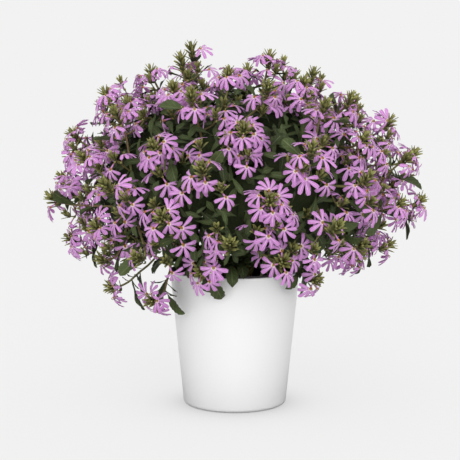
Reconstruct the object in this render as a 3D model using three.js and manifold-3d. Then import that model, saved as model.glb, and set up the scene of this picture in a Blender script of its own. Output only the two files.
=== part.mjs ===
// Potted fan flower: a rounded mound of leafy stems that carry rings of fan-shaped blooms,
// growing in a plain conical pot. Units are millimetres, +Z is up, and the origin is the centre
// of the pot's underside. The front of the plant faces -Y.

import * as THREE from "three";
import { mergeVertices } from "three/addons/utils/BufferGeometryUtils.js";
import Module from "manifold-3d";

const wasm = await Module();
wasm.setup();

// Pot: a conical wall with a rounded foot, a small bead under its dark top edge, and drain holes
const POT_HEIGHT = 172;
const POT_BASE_RADIUS = 65;
const POT_RIM_RADIUS = 82.5;
const POT_WALL = 1.6;
const POT_FLOOR = 2.4;
const POT_FOOT_ROUND = 5;
const POT_BEAD = 0.6;
const POT_BEAD_HEIGHT = 2;
const POT_DARK_EDGE = 2.6;
const POT_SIDES = 32;
const DRAIN_HOLES = 6;
const DRAIN_HOLE_RADIUS = 5;
const DRAIN_HOLE_SIDES = 8;
const DRAIN_CIRCLE_RADIUS = 40;

// Peat
const PEAT_BELOW_RIM = 10;
const PEAT_TOP = POT_HEIGHT - PEAT_BELOW_RIM;
const PEAT_RINGS = [1, 0.8, 0.55, 0.28, 0];
const PEAT_BUMPS = [
  { height: 1.2, across: 0.21, along: 0.17, shift: 1.3 },
  { height: 0.7, across: 0.09, along: 0.31, shift: 0.4 },
];
const STEM_HOLE_SIDES = 6;
const SEAT_GAP = 0.3;

// Mound: the outline that the tips reach, as a radius from a centre above the pot
const MOUND_CENTRE = 250;
const MOUND_TOP_RADIUS = 200;
const MOUND_SIDE_GROWTH = 38;
const MOUND_SKIRT_LOSS = 120;
const MOUND_LAST_POLAR = THREE.MathUtils.degToRad(118);
const GOLDEN_ANGLE = Math.PI * (3 - Math.sqrt(5));
const AXIS_LIFT = 0.35;

// Stems
const STEM_COUNT = 13;
const STEM_REACH = 0.94;
const STEM_TURN = 1.1;
const STEM_SPREAD = 42;
const STEM_RADIUS = 2.1;
const STEM_TOP_RADIUS = 1.6;
const STEM_SIDES = 4;
const STEM_DEPTH = 25;
const STEM_FOOT = 6;
const STEM_STEPS = [0.3, 0.6, 0.9];
const FORK_STEPS = [0.86, 0.9];
const FAN_RISE = 0.62;
const FAN_LIFT = 45;
const BRANCH_ROOT_RADIUS = 1.4;
const BRANCH_RADIUS = 1.2;
const BRANCH_SIDES = 4;
const INNER_SHELL = 66;
const NECK = 16;
const TIP_STUB = 3;

// Cores: the dense inner leaves of each stem, as a domed cell under the mound's surface. Rings and
// middles are given as insets from the mound's outline, and borders in units of the mound's disc.
const CORE_REACH = 0.95;
const CORE_SIDES = 16;
const CORE_GAP = 0.012;
const CORE_EDGE = 0.21;
const CORE_RINGS = [{ share: 1, inset: 80 }, { share: 0.55, inset: 68 }];
const CORE_TOP = 64;
const CORE_UNDERSIDE = { share: 0.8, inset: 94 };
const CORE_BOTTOM = 98;
const CORE_POINT = [8, 13];
const CORE_LEAN = 5;

// Tips: some of each cycle on the spiral carry blooms, and the rest are bud tufts only
const TIP_COUNT = 80;
const TIP_CYCLE = 7;
const HEADS_PER_CYCLE = 3;
const TIP_TURN = 0.4;
const HEAD_LIMIT = 44;
const HEAD_RADIUS = 30.5;
const HEAD_INSET = [22, 36];
const BUD_INSET = [10, 24];
const TIP_SPACING = 44;
const HEAD_CLEARANCE = 0.6;
const HEAD_BELOW = 8;

// Sprays that stand out of the mound: x, y, z of the tip, and whether it carries blooms
const PLACED_TIPS = [
  { at: [-54, 0, 444], blooms: false },
  { at: [-104, 0, 415], blooms: true },
  { at: [-160, -8, 388], blooms: true },
  { at: [-200, -10, 338], blooms: true },
  { at: [-214, -8, 284], blooms: true },
  { at: [-201, -24, 210], blooms: true },
  { at: [-149, -40, 152], blooms: true },
  { at: [-97, -74, 141], blooms: true },
  { at: [-38, -118, 182], blooms: true },
  { at: [95, -76, 167], blooms: true },
  { at: [190, -10, 200], blooms: true },
  { at: [228, -20, 257], blooms: true },
  { at: [222, -6, 314], blooms: true },
  { at: [192, 0, 354], blooms: true },
  { at: [148, -5, 380], blooms: true },
  { at: [96, -10, 412], blooms: false },
  { at: [42, -12, 432], blooms: true },
];

// Blooms
const BLOOMS_LEAST = 4;
const BLOOMS_SPREAD = 2.6;
const PETALS = 5;
const THROAT_SHARE = 0.43;
const PETAL_SHARE = 0.54;
const PETAL_HALF_WIDTH = 2.2;
const PETAL_TAPER = 0.24;
const PETAL_VARIATION = [0.93, 1];
const PETAL_DROOP = [2, 6];
const PETAL_NOTCH = 4;
const THROAT_HEIGHT = 3.5;
const THROAT_HALF_THICKNESS = 1.1;
const THROAT_EDGE_DROP = 0.9;
const HUB_HOLE = 2.3;
const HUB_OUTER = 3.7;
const HUB_HALF_THICKNESS = 0.8;
const ARM_HALF_WIDTH = 1.3;
const ARM_END = 3.2;
const FAN_HALF_ANGLES = { 4: 70, 5: 54, 6: 42 };

// Bud tufts: pointed bracts round a central bud, each between two corners of the branch
const TUFT_RADIUS = 8.5;
const TUFT_BRACT_HEIGHT = 11;
const TUFT_VALLEY = [2.4, 6];
const TUFT_TOP = 14;

// Leaves: toothed blades, widest past the middle
const LEAF_LENGTH = [34, 46];
const LEAF_WIDTH_SHARE = 0.44;
const LEAF_ROOT = 1.5;
const LEAF_SAG = 0.16;
const LEAF_EDGE = [[0.22, 0.3], [0.52, 0.9], [0.64, 0.74], [0.76, 1]];
const LEAF_RIB = [[0.2, 0.7], [0.68, 0.6]];
const LEAF_SPHERES = [[0.35, 0.15], [0.6, 0.21], [0.82, 0.2], [1, 0.06]];
const LEAF_TRIES = 9;
const LEAF_LEAN = 0.45;
const LEAF_DRAPE = 0.9;
const DRAPE_BELOW = 220;
const LEAF_PLACES = [[0.75, 0.95], [0.45, 0.7]];
const LEAF_LIMIT = 66;

// Room that leaves keep to what belongs to other pieces, and the least length of a disc's unit
const DISC_SCALE = 170;
const SKIRT_SCALE = 300;
const POT_CLEARANCE = 2;
const STEM_CLEARANCE = 0.6;
const LEAF_CLEARANCE = 0.5;
const HEAD_BESIDE = 1;

// First seeds of the repeatable draws, one range for each kind of thing
const SEED_PLACED = 900;
const SEED_FORK = 300;
const SEED_LEAF = 2000;
const SEED_HEAD = 5000;
const SEED_CORE = 7000;

const MERGE_DISTANCE = 1e-3;

// A repeatable random number between 0 and 1 for each numbered thing
function drawFrom(seed) {
  let state = (seed * 7919 + 104729) % 2147483647;
  return () => {
    state = (state * 16807) % 2147483647;
    return state / 2147483647;
  };
}

function between([low, high], share) {
  return low + (high - low) * share;
}

// Outline of the mound: grows towards its side, then draws in below it
function moundRadius(polar) {
  const side = Math.min(polar, Math.PI / 2);
  const below = Math.max(polar - Math.PI / 2, 0);
  return MOUND_TOP_RADIUS + MOUND_SIDE_GROWTH * Math.sin(side) ** 2 - MOUND_SKIRT_LOSS * below;
}

// A place on the mound as a point of a unit disc: its middle is the top and its edge the skirt
function discPoint(index, count, turn, reach) {
  const radius = reach * Math.sqrt((index + 0.5) / count);
  const angle = index * GOLDEN_ANGLE + turn;
  return new THREE.Vector2(radius * Math.cos(angle), radius * Math.sin(angle));
}

function polarOf(disc) {
  return Math.acos(1 - (1 - Math.cos(MOUND_LAST_POLAR)) * Math.min(disc.length(), 1) ** 2);
}

function moundPoint(disc, inset) {
  const polar = polarOf(disc);
  const angle = Math.atan2(disc.y, disc.x);
  const distance = moundRadius(polar) - inset;
  const level = distance * Math.sin(polar);
  return new THREE.Vector3(
    level * Math.cos(angle),
    level * Math.sin(angle),
    MOUND_CENTRE + distance * Math.cos(polar),
  );
}

// Stems fan out from the pot along one family of curves, so that they never cross
function fanPoint(disc, share) {
  const reach = Math.min(disc.length(), 1);
  const angle = Math.atan2(disc.y, disc.x);
  const end = moundPoint(disc, INNER_SHELL);
  const endRadius = Math.hypot(end.x, end.y);
  const startRadius = STEM_SPREAD * reach;
  const start = new THREE.Vector2(startRadius, PEAT_TOP);
  const bend = new THREE.Vector2(
    (startRadius + endRadius) / 2,
    PEAT_TOP + FAN_RISE * (end.z - PEAT_TOP) + FAN_LIFT * reach ** 2,
  );
  const curve = new THREE.QuadraticBezierCurve(start, bend, new THREE.Vector2(endRadius, end.z));
  const point = curve.getPoint(share);
  return new THREE.Vector3(point.x * Math.cos(angle), point.x * Math.sin(angle), point.y);
}

function outwardAt(point) {
  return point.clone().sub(new THREE.Vector3(0, 0, MOUND_CENTRE)).normalize();
}

function axisAt(point) {
  return outwardAt(point).add(new THREE.Vector3(0, 0, AXIS_LIFT)).normalize();
}

function discOf(point) {
  const distance = point.distanceTo(new THREE.Vector3(0, 0, MOUND_CENTRE));
  const polar = Math.acos((point.z - MOUND_CENTRE) / distance);
  const reach = Math.sqrt((1 - Math.cos(polar)) / (1 - Math.cos(MOUND_LAST_POLAR)));
  const angle = Math.atan2(point.y, point.x);
  return new THREE.Vector2(Math.cos(angle), Math.sin(angle)).multiplyScalar(Math.min(reach, 1));
}

// All tips: the placed sprays first, then the spiral where it leaves them room
function layTips() {
  const tips = PLACED_TIPS.map(({ at, blooms }, index) => {
    const point = new THREE.Vector3(...at);
    const low = point.z < DRAPE_BELOW;
    return { point, blooms, disc: discOf(point), seed: SEED_PLACED + index, placed: true, low };
  });
  for (let index = 0; index < TIP_COUNT; index += 1) {
    const draw = drawFrom(index + 1);
    const disc = discPoint(index, TIP_COUNT, TIP_TURN, 1);
    const blooms = (index * HEADS_PER_CYCLE) % TIP_CYCLE < HEADS_PER_CYCLE;
    const point = moundPoint(disc, between(blooms ? HEAD_INSET : BUD_INSET, draw()));
    if (tips.every((tip) => !tip.placed || tip.point.distanceTo(point) > TIP_SPACING)) {
      tips.push({ point, blooms, disc, seed: index + 1 });
    }
  }
  let heads = 0;
  for (const tip of tips) {
    tip.axis = axisAt(tip.point);
    tip.blooms = tip.blooms && heads < HEAD_LIMIT;
    heads += tip.blooms ? 1 : 0;
  }
  return tips;
}

// A head is as wide as the space to its neighbours lets it be
function setHeadRadii(tips) {
  for (const tip of tips) {
    let radius = HEAD_RADIUS;
    for (const other of tips) {
      if (other !== tip) {
        const apart = other.point.distanceTo(tip.point);
        const share = other.blooms ? apart / 2 : apart - TUFT_RADIUS;
        radius = Math.min(radius, share - HEAD_CLEARANCE);
      }
    }
    tip.radius = radius;
  }
}

// Main stems, and the branch of each tip from the nearest of them
function layStems(tips) {
  const stems = [];
  for (let index = 0; index < STEM_COUNT; index += 1) {
    const disc = discPoint(index, STEM_COUNT, STEM_TURN, STEM_REACH);
    const foot = fanPoint(disc, 0);
    const path = [PEAT_TOP - STEM_DEPTH + SEAT_GAP, PEAT_TOP + STEM_FOOT].map((z) => foot.clone().setZ(z));
    path.push(...STEM_STEPS.map((share) => fanPoint(disc, share)));
    stems.push({ disc, foot, path, branches: [], leaves: [] });
  }
  for (const tip of tips) {
    const stem = stems.reduce((best, other) =>
      (other.disc.distanceTo(tip.disc) < best.disc.distanceTo(tip.disc) ? other : best));
    const draw = drawFrom(tip.seed + SEED_FORK);
    const fork = FORK_STEPS[Math.floor(draw() * FORK_STEPS.length)];
    const path = [fanPoint(stem.disc, fork)];
    if (tip.placed) {
      path.push(fanPoint(tip.disc, 1));
    }
    path.push(tip.point.clone().addScaledVector(tip.axis, -NECK));
    path.push(tip.point.clone().addScaledVector(tip.axis, TIP_STUB));
    stem.branches.push({ tip, path });
  }
  return stems;
}

function distanceToPath(path, point) {
  const nearest = new THREE.Vector3();
  return Math.min(...path.slice(1).map((end, index) => {
    new THREE.Line3(path[index], end).closestPointToPoint(point, true, nearest);
    return nearest.distanceTo(point);
  }));
}

// A sphere's height along a tip's axis, and its distance from that axis
function placeOverTip(tip, centre) {
  const offset = centre.clone().sub(tip.point);
  const height = offset.dot(tip.axis);
  return { height, across: offset.addScaledVector(tip.axis, -height).length() };
}

// How far a disc point lies on the far side of the border between two stems, less the gap
function pastBorder(point, stem, other) {
  const away = other.disc.clone().sub(stem.disc);
  const half = away.length() / 2 - CORE_GAP;
  return point.clone().sub(stem.disc).dot(away.normalize()) - half;
}

// Border of a stem's cell of the disc: what lies nearer to it than to any other stem
function cellBorder(stem, stems) {
  let corners = Array.from({ length: CORE_SIDES }, (_, side) => {
    const angle = (side / CORE_SIDES) * Math.PI * 2;
    return new THREE.Vector2(Math.cos(angle), Math.sin(angle)).multiplyScalar(CORE_REACH);
  });
  const nextOf = (list, index) => list[(index + 1) % list.length];
  for (const other of stems.filter((beside) => beside !== stem)) {
    corners = corners.flatMap((corner, index) => {
      const next = nextOf(corners, index);
      const [here, there] = [corner, next].map((point) => pastBorder(point, stem, other));
      const kept = here <= 0 ? [corner] : [];
      return here * there < 0 ? [...kept, corner.clone().lerp(next, here / (here - there))] : kept;
    });
  }
  return corners.flatMap((corner, index) => {
    const next = nextOf(corners, index);
    const pieces = Math.ceil(corner.distanceTo(next) / CORE_EDGE);
    return Array.from({ length: pieces }, (_, piece) => corner.clone().lerp(next, piece / pieces));
  });
}

// Leaf places: a few on each branch, turned until the blade is clear of everything of other nodes
function sideways(direction, turn) {
  const reference = Math.abs(direction.z) > 0.9 ? new THREE.Vector3(1, 0, 0) : new THREE.Vector3(0, 0, 1);
  const level = reference.cross(direction).normalize();
  const upright = direction.clone().cross(level).normalize();
  return level.multiplyScalar(Math.cos(turn)).addScaledVector(upright, Math.sin(turn));
}

function leafSpheres(leaf) {
  return LEAF_SPHERES.map(([share, width]) => ({
    centre: leaf.root.clone().addScaledVector(leaf.along, leaf.length * share),
    radius: leaf.length * width,
  }));
}

function clearOfHead(tip, { centre, radius }) {
  const { height, across } = placeOverTip(tip, centre);
  return height < -(HEAD_BELOW + radius) || height > TUFT_TOP + radius
    || across > tip.radius + radius + HEAD_BESIDE;
}

function clearOfPot({ centre, radius }) {
  const outside = Math.hypot(centre.x, centre.y) > POT_RIM_RADIUS + radius + POT_CLEARANCE;
  return outside || centre.z > POT_HEIGHT + radius + POT_CLEARANCE;
}

function clearOfPath(path, { centre, radius }) {
  return distanceToPath(path, centre) > radius + STEM_RADIUS + STEM_CLEARANCE;
}

// Clear of every core but the stem's own: over, under or beyond them all, or in its own cell
function clearOfCores({ centre, radius }, stem, stems) {
  const distance = centre.distanceTo(new THREE.Vector3(0, 0, MOUND_CENTRE));
  const inset = moundRadius(Math.acos((centre.z - MOUND_CENTRE) / distance)) - distance;
  const disc = discOf(centre);
  return inset < CORE_TOP - CORE_POINT[1] - radius
    || inset > CORE_BOTTOM + radius
    || (disc.length() - CORE_REACH) * SKIRT_SCALE > radius
    || stems.every((other) => other === stem || -pastBorder(disc, stem, other) * DISC_SCALE > radius);
}

function clearOfStem(stem, sphere) {
  const { centre, radius } = sphere;
  return clearOfPath(stem.path, sphere)
    && stem.branches.every(({ path, tip }) =>
      clearOfPath(path, sphere) && tip.point.distanceTo(centre) > TUFT_TOP + radius)
    && stem.leaves.every((leafBeside) => leafSpheres(leafBeside).every((beside) =>
      beside.centre.distanceTo(centre) > beside.radius + radius + LEAF_CLEARANCE));
}

function leafIsClear(leaf, stem, stems, tips) {
  return leafSpheres(leaf).every((sphere) => clearOfPot(sphere)
    && clearOfCores(sphere, stem, stems)
    && tips.every((tip) => !tip.blooms || clearOfHead(tip, sphere))
    && stems.every((other) => other === stem || clearOfStem(other, sphere)));
}

function layLeaf(stem, { path, tip }, place, stems, tips) {
  const draw = drawFrom(tip.seed * 4 + place + SEED_LEAF);
  const start = path[path.length - 3];
  const end = path[path.length - 2];
  const root = start.clone().lerp(end, between(LEAF_PLACES[place], draw()));
  const direction = end.clone().sub(start).normalize();
  const length = between(LEAF_LENGTH, draw());
  const firstTurn = draw() * Math.PI * 2;
  const drape = new THREE.Vector3(0, 0, tip.low ? -LEAF_DRAPE : 0);
  for (let attempt = 0; attempt < LEAF_TRIES; attempt += 1) {
    const out = sideways(direction, firstTurn + attempt * GOLDEN_ANGLE);
    const along = out.addScaledVector(direction, LEAF_LEAN).add(drape).normalize();
    const leaf = { root, along, length, face: direction };
    if (leafIsClear(leaf, stem, stems, tips)) {
      stem.leaves.push(leaf);
      return 1;
    }
  }
  return 0;
}

// The low sprays get all their leaves first, so that some drape over the rim
function layLeaves(stems, tips) {
  let count = 0;
  for (const low of [true, false]) {
    for (let place = 0; place < LEAF_PLACES.length; place += 1) {
      for (const stem of stems) {
        for (const branch of stem.branches) {
          if (Boolean(branch.tip.low) === low && count < LEAF_LIMIT) {
            count += layLeaf(stem, branch, place, stems, tips);
          }
        }
      }
    }
  }
}

// Geometry helpers
function meshGeometry(points, faces) {
  const geometry = new THREE.BufferGeometry();
  geometry.setAttribute("position", new THREE.Float32BufferAttribute(points.flat(), 3));
  geometry.setIndex(faces.flat());
  return geometry;
}

// Keeps positions alone, joins shared vertices and drops the empty triangles at poles
function joined(source) {
  const loose = source.clone();
  loose.deleteAttribute("normal");
  loose.deleteAttribute("uv");
  const geometry = mergeVertices(loose, MERGE_DISTANCE);
  const index = Array.from(geometry.index.array);
  const kept = [];
  for (let at = 0; at < index.length; at += 3) {
    const [a, b, c] = index.slice(at, at + 3);
    if (a !== b && b !== c && c !== a) {
      kept.push(a, b, c);
    }
  }
  geometry.setIndex(kept);
  return geometry;
}

function solidOf(source) {
  const geometry = joined(source);
  return new wasm.Manifold(new wasm.Mesh({
    numProp: 3,
    vertProperties: new Float32Array(geometry.attributes.position.array),
    triVerts: new Uint32Array(geometry.index.array),
  }));
}

function geometryOf(solid) {
  const mesh = solid.getMesh();
  const geometry = new THREE.BufferGeometry();
  geometry.setAttribute("position", new THREE.Float32BufferAttribute(mesh.vertProperties, 3));
  geometry.setIndex(Array.from(mesh.triVerts));
  return geometry;
}

function lathe(profile) {
  const points = profile.map(([radius, height]) => new THREE.Vector2(radius, height));
  const geometry = new THREE.LatheGeometry(points, POT_SIDES);
  geometry.rotateX(Math.PI / 2);
  return geometry;
}

// A frame whose third axis runs along the given direction
function turnedTo(axis, origin, side = null) {
  const first = side ? side.clone() : sideways(axis, 0);
  first.addScaledVector(axis, -first.dot(axis)).normalize();
  const second = axis.clone().cross(first);
  return new THREE.Matrix4().makeBasis(first, second, axis).setPosition(origin);
}

// A tapering rod along a path of points, open at its far end, with the frame of that end
function rodBody(path, startRadius, endRadius, sides) {
  const points = [];
  const faces = [];
  let side = null;
  let other = null;
  path.forEach((point, step) => {
    const before = path[Math.max(step - 1, 0)];
    const after = path[Math.min(step + 1, path.length - 1)];
    const direction = after.clone().sub(before).normalize();
    side = side ?? sideways(direction, 0);
    side.addScaledVector(direction, -side.dot(direction)).normalize();
    other = direction.clone().cross(side);
    const radius = startRadius + (endRadius - startRadius) * (step / (path.length - 1));
    for (let corner = 0; corner < sides; corner += 1) {
      const angle = (corner / sides) * Math.PI * 2;
      const place = point.clone()
        .addScaledVector(side, radius * Math.cos(angle))
        .addScaledVector(other, radius * Math.sin(angle));
      points.push(place.toArray());
      if (step > 0) {
        const next = (corner + 1) % sides;
        const low = (step - 1) * sides;
        const high = step * sides;
        faces.push([low + corner, low + next, high + next], [low + corner, high + next, high + corner]);
      }
    }
  });
  for (let corner = 1; corner < sides - 1; corner += 1) {
    faces.push([0, corner + 1, corner]);
  }
  return { points, faces, side, other, last: (path.length - 1) * sides };
}

function stemGeometry(stem) {
  const body = rodBody(stem.path, STEM_RADIUS, STEM_TOP_RADIUS, STEM_SIDES);
  for (let corner = 1; corner < STEM_SIDES - 1; corner += 1) {
    body.faces.push([body.last, body.last + corner, body.last + corner + 1]);
  }
  return meshGeometry(body.points, body.faces);
}

// A branch whose end opens into a tuft: pointed bracts round a bud that stands up between them
function branchGeometry({ path, tip }) {
  const body = rodBody(path, BRANCH_ROOT_RADIUS, BRANCH_RADIUS, BRANCH_SIDES);
  const place = (radius, height, angle) => tip.point.clone()
    .addScaledVector(tip.axis, height)
    .addScaledVector(body.side, radius * Math.cos(angle))
    .addScaledVector(body.other, radius * Math.sin(angle))
    .toArray();
  const step = (Math.PI * 2) / BRANCH_SIDES;
  const top = body.points.length;
  body.points.push(place(0, TUFT_TOP, 0));
  for (let bract = 0; bract < BRANCH_SIDES; bract += 1) {
    body.points.push(place(...TUFT_VALLEY, bract * step));
    body.points.push(place(TUFT_RADIUS, TUFT_BRACT_HEIGHT, (bract + 0.5) * step));
    const next = (bract + 1) % BRANCH_SIDES;
    const [corner, nextCorner] = [body.last + bract, body.last + next];
    const [low, point, nextLow] = [top + 1 + bract * 2, top + 2 + bract * 2, top + 1 + next * 2];
    body.faces.push([corner, nextCorner, point], [corner, point, low], [nextCorner, nextLow, point]);
    body.faces.push([low, point, top], [top, point, nextLow]);
  }
  return meshGeometry(body.points, body.faces);
}

// A domed cell of facets. Each facet of its top is a short leaf point that leans over.
function coreGeometry(stem, index, stems) {
  const draw = drawFrom(SEED_CORE + index);
  const border = cellBorder(stem, stems);
  const count = border.length;
  const points = [];
  const faces = [];
  const ringAt = ({ share, inset }) => {
    for (const corner of border) {
      points.push(moundPoint(stem.disc.clone().lerp(corner, share), inset));
    }
    return points.length - count;
  };
  const under = ringAt(CORE_UNDERSIDE);
  const [outer, inner] = CORE_RINGS.map(ringAt);
  const bottom = points.push(moundPoint(stem.disc, CORE_BOTTOM)) - 1;
  const top = points.push(moundPoint(stem.disc, CORE_TOP)) - 1;
  const raised = (a, b, c) => {
    const middle = [a, b, c].reduce((sum, at) => sum.add(points[at]), new THREE.Vector3()).divideScalar(3);
    const outward = outwardAt(middle);
    middle.addScaledVector(outward, between(CORE_POINT, draw()));
    middle.addScaledVector(sideways(outward, draw() * Math.PI * 2), CORE_LEAN);
    const point = points.push(middle) - 1;
    faces.push([a, b, point], [b, c, point], [c, a, point]);
  };
  for (let side = 0; side < count; side += 1) {
    const next = (side + 1) % count;
    faces.push([bottom, under + next, under + side]);
    faces.push([under + side, under + next, outer + next], [under + side, outer + next, outer + side]);
    raised(outer + side, outer + next, inner + next);
    raised(outer + side, inner + next, inner + side);
    raised(inner + side, inner + next, top);
  }
  return meshGeometry(points.map((point) => point.toArray()), faces);
}

// A toothed blade: its outline is one sharp edge, and its rib stands up and down from it.
// It lies along x, faces +z, and bends down towards its tip.
function leafGeometry(length) {
  const half = (length * LEAF_WIDTH_SHARE) / 2;
  const sag = (share) => -LEAF_SAG * length * share ** 2;
  const right = LEAF_EDGE.map(([share, width]) => [share * length, -width * half, sag(share)]);
  const left = right.toReversed().map(([x, y, z]) => [x, -y, z]);
  const outline = [[-LEAF_ROOT, 0, 0], ...right, [length, 0, sag(1)], ...left];
  const points = [...outline];
  for (const [share, thickness] of LEAF_RIB) {
    points.push([share * length, 0, sag(share) + thickness], [share * length, 0, sag(share) - thickness]);
  }
  const count = outline.length;
  const [low, high] = [count, count + 2];
  const spans = [
    [0, 1, low], [1, 2, low], [low, 2, high], [2, 3, high], [3, 4, high], [4, 5, high],
    [5, 6, high], [6, 7, high], [7, 8, high], [low, high, 8], [8, 9, low], [9, 0, low],
  ];
  const under = (vertex) => (vertex < count ? vertex : vertex + 1);
  const faces = [...spans, ...spans.map(([a, b, c]) => [under(a), under(c), under(b)])];
  return meshGeometry(points, faces);
}

// A ring of fan-shaped blooms in one body. Each arm rises from the hub to a throat, from which
// the petals spread on the side away from the hub. The outline is one sharp edge.
function headGeometry(tip) {
  const draw = drawFrom(tip.seed + SEED_HEAD);
  const count = BLOOMS_LEAST + Math.floor(draw() * BLOOMS_SPREAD);
  const half = Math.PI / count;
  const fan = THREE.MathUtils.degToRad(FAN_HALF_ANGLES[count]);
  const throat = THROAT_SHARE * tip.radius;
  const armHeight = THROAT_HEIGHT - THROAT_EDGE_DROP;
  const turn = draw() * Math.PI * 2;
  const points = [];
  const faces = [];
  const ring = count * 3;
  const at = (radius, angle, height) => [radius * Math.cos(angle), radius * Math.sin(angle), height];
  for (let bloom = 0; bloom < count; bloom += 1) {
    const angle = turn + bloom * half * 2 - half;
    points.push(at(HUB_HOLE, angle, HUB_HALF_THICKNESS), at(HUB_HOLE, angle, -HUB_HALF_THICKNESS));
    points.push(at(HUB_OUTER, angle, 0));
  }
  for (let bloom = 0; bloom < count; bloom += 1) {
    const middle = turn + bloom * half * 2;
    const forward = new THREE.Vector2(Math.cos(middle), Math.sin(middle));
    const beside = new THREE.Vector2(-forward.y, forward.x);
    const place = (ahead, across, height) => [
      forward.x * ahead + beside.x * across, forward.y * ahead + beside.y * across, height,
    ];
    const outline = [place(throat - ARM_END, -ARM_HALF_WIDTH, armHeight)];
    for (let petal = 0; petal < PETALS; petal += 1) {
      const share = petal / (PETALS - 1) - 0.5;
      const spread = share * 2 * fan;
      const taper = (1 - PETAL_TAPER * Math.abs(share)) * between(PETAL_VARIATION, draw());
      const reach = PETAL_SHARE * tip.radius * taper;
      const height = THROAT_HEIGHT - between(PETAL_DROOP, draw());
      const sides = Math.abs(share) < 0.5 ? [-1, 1] : [0];
      for (const side of sides) {
        const ahead = throat + reach * Math.cos(spread) - side * PETAL_HALF_WIDTH * Math.sin(spread);
        const across = reach * Math.sin(spread) + side * PETAL_HALF_WIDTH * Math.cos(spread);
        outline.push(place(ahead, across, height));
      }
      if (petal < PETALS - 1) {
        const gap = spread + fan / (PETALS - 1);
        outline.push(place(throat + PETAL_NOTCH * Math.cos(gap), PETAL_NOTCH * Math.sin(gap), THROAT_HEIGHT));
      }
    }
    outline.push(place(throat - ARM_END, ARM_HALF_WIDTH, armHeight));
    const first = points.length;
    const last = first + outline.length - 1;
    const centre = last + 1;
    points.push(...outline);
    points.push(place(throat, 0, THROAT_HEIGHT + THROAT_HALF_THICKNESS));
    points.push(place(throat, 0, THROAT_HEIGHT - THROAT_HALF_THICKNESS));
    const hub = bloom * 3;
    const nextHub = ((bloom + 1) % count) * 3;
    const spans = [];
    for (let vertex = first; vertex < last; vertex += 1) {
      spans.push([centre, vertex, vertex + 1]);
    }
    spans.push([hub, hub + 2, first], [hub, first, centre], [hub, centre, nextHub]);
    spans.push([nextHub, centre, last], [nextHub, last, nextHub + 2]);
    const thick = (vertex) => (vertex < ring ? vertex % 3 === 0 : vertex === centre);
    const under = (vertex) => (thick(vertex) ? vertex + 1 : vertex);
    faces.push(...spans, ...spans.map(([a, b, c]) => [under(a), under(c), under(b)]));
    faces.push([hub, nextHub, nextHub + 1], [hub, nextHub + 1, hub + 1]);
  }
  return meshGeometry(points, faces);
}

// Pot and peat
function wallRadius(height) {
  return POT_BASE_RADIUS + (POT_RIM_RADIUS - POT_BASE_RADIUS) * (height / POT_HEIGHT);
}

function makePot() {
  const whiteTop = POT_HEIGHT - POT_DARK_EDGE;
  const beadFoot = whiteTop - POT_BEAD_HEIGHT;
  const beadMiddle = whiteTop - POT_BEAD_HEIGHT / 2;
  const footCentre = wallRadius(POT_FOOT_ROUND) - POT_FOOT_ROUND;
  const profile = [[0, 0]];
  for (const degrees of [0, 45, 90]) {
    const angle = THREE.MathUtils.degToRad(degrees);
    profile.push([
      footCentre + POT_FOOT_ROUND * Math.sin(angle), POT_FOOT_ROUND * (1 - Math.cos(angle)),
    ]);
  }
  profile.push([wallRadius(beadFoot), beadFoot]);
  profile.push([wallRadius(beadMiddle) + POT_BEAD, beadMiddle]);
  profile.push([wallRadius(whiteTop) - POT_WALL / 3, whiteTop]);
  profile.push([wallRadius(POT_HEIGHT) - POT_WALL / 2, POT_HEIGHT]);
  profile.push([wallRadius(POT_HEIGHT) - POT_WALL, POT_HEIGHT]);
  profile.push([wallRadius(POT_FOOT_ROUND + 1) - POT_WALL, POT_FOOT_ROUND + 1]);
  profile.push([footCentre, POT_FLOOR], [0, POT_FLOOR]);
  let solid = solidOf(lathe(profile));
  const holeSize = [DRAIN_HOLE_RADIUS, DRAIN_HOLE_RADIUS, POT_FLOOR * 3, DRAIN_HOLE_SIDES];
  for (let hole = 0; hole < DRAIN_HOLES; hole += 1) {
    const angle = (hole / DRAIN_HOLES) * Math.PI * 2;
    const cutter = new THREE.CylinderGeometry(...holeSize);
    cutter.rotateX(Math.PI / 2);
    cutter.translate(DRAIN_CIRCLE_RADIUS * Math.cos(angle), DRAIN_CIRCLE_RADIUS * Math.sin(angle), 0);
    solid = solid.subtract(solidOf(cutter));
  }
  return geometryOf(solid);
}

function peatBump(x, y) {
  return PEAT_BUMPS.reduce((sum, { height, across, along, shift }) =>
    sum + height * Math.sin(x * across + shift) * Math.cos(y * along - shift), 0);
}

function makePeat(stems) {
  const footCentre = wallRadius(POT_FOOT_ROUND) - POT_FOOT_ROUND;
  const side = POT_WALL + SEAT_GAP;
  const profile = [[0, POT_FLOOR + SEAT_GAP], [footCentre - 1, POT_FLOOR + SEAT_GAP]];
  profile.push([wallRadius(POT_FOOT_ROUND + 1) - side, POT_FOOT_ROUND + 1 + SEAT_GAP]);
  const edge = wallRadius(PEAT_TOP) - side;
  profile.push(...PEAT_RINGS.map((share) => [edge * share, PEAT_TOP]));
  const geometry = joined(lathe(profile));
  const position = geometry.attributes.position;
  for (let vertex = 0; vertex < position.count; vertex += 1) {
    const [x, y, z] = [position.getX(vertex), position.getY(vertex), position.getZ(vertex)];
    if (z > PEAT_TOP - 1 && Math.hypot(x, y) < edge - 1) {
      position.setZ(vertex, z + peatBump(x, y));
    }
  }
  let solid = solidOf(geometry);
  const radius = (STEM_RADIUS + SEAT_GAP) / Math.cos(Math.PI / STEM_HOLE_SIDES);
  for (const { foot } of stems) {
    const hole = new THREE.CylinderGeometry(radius, radius, STEM_DEPTH * 2, STEM_HOLE_SIDES);
    hole.rotateX(Math.PI / 2);
    hole.translate(foot.x, foot.y, PEAT_TOP);
    solid = solid.subtract(solidOf(hole));
  }
  return geometryOf(solid);
}

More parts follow.
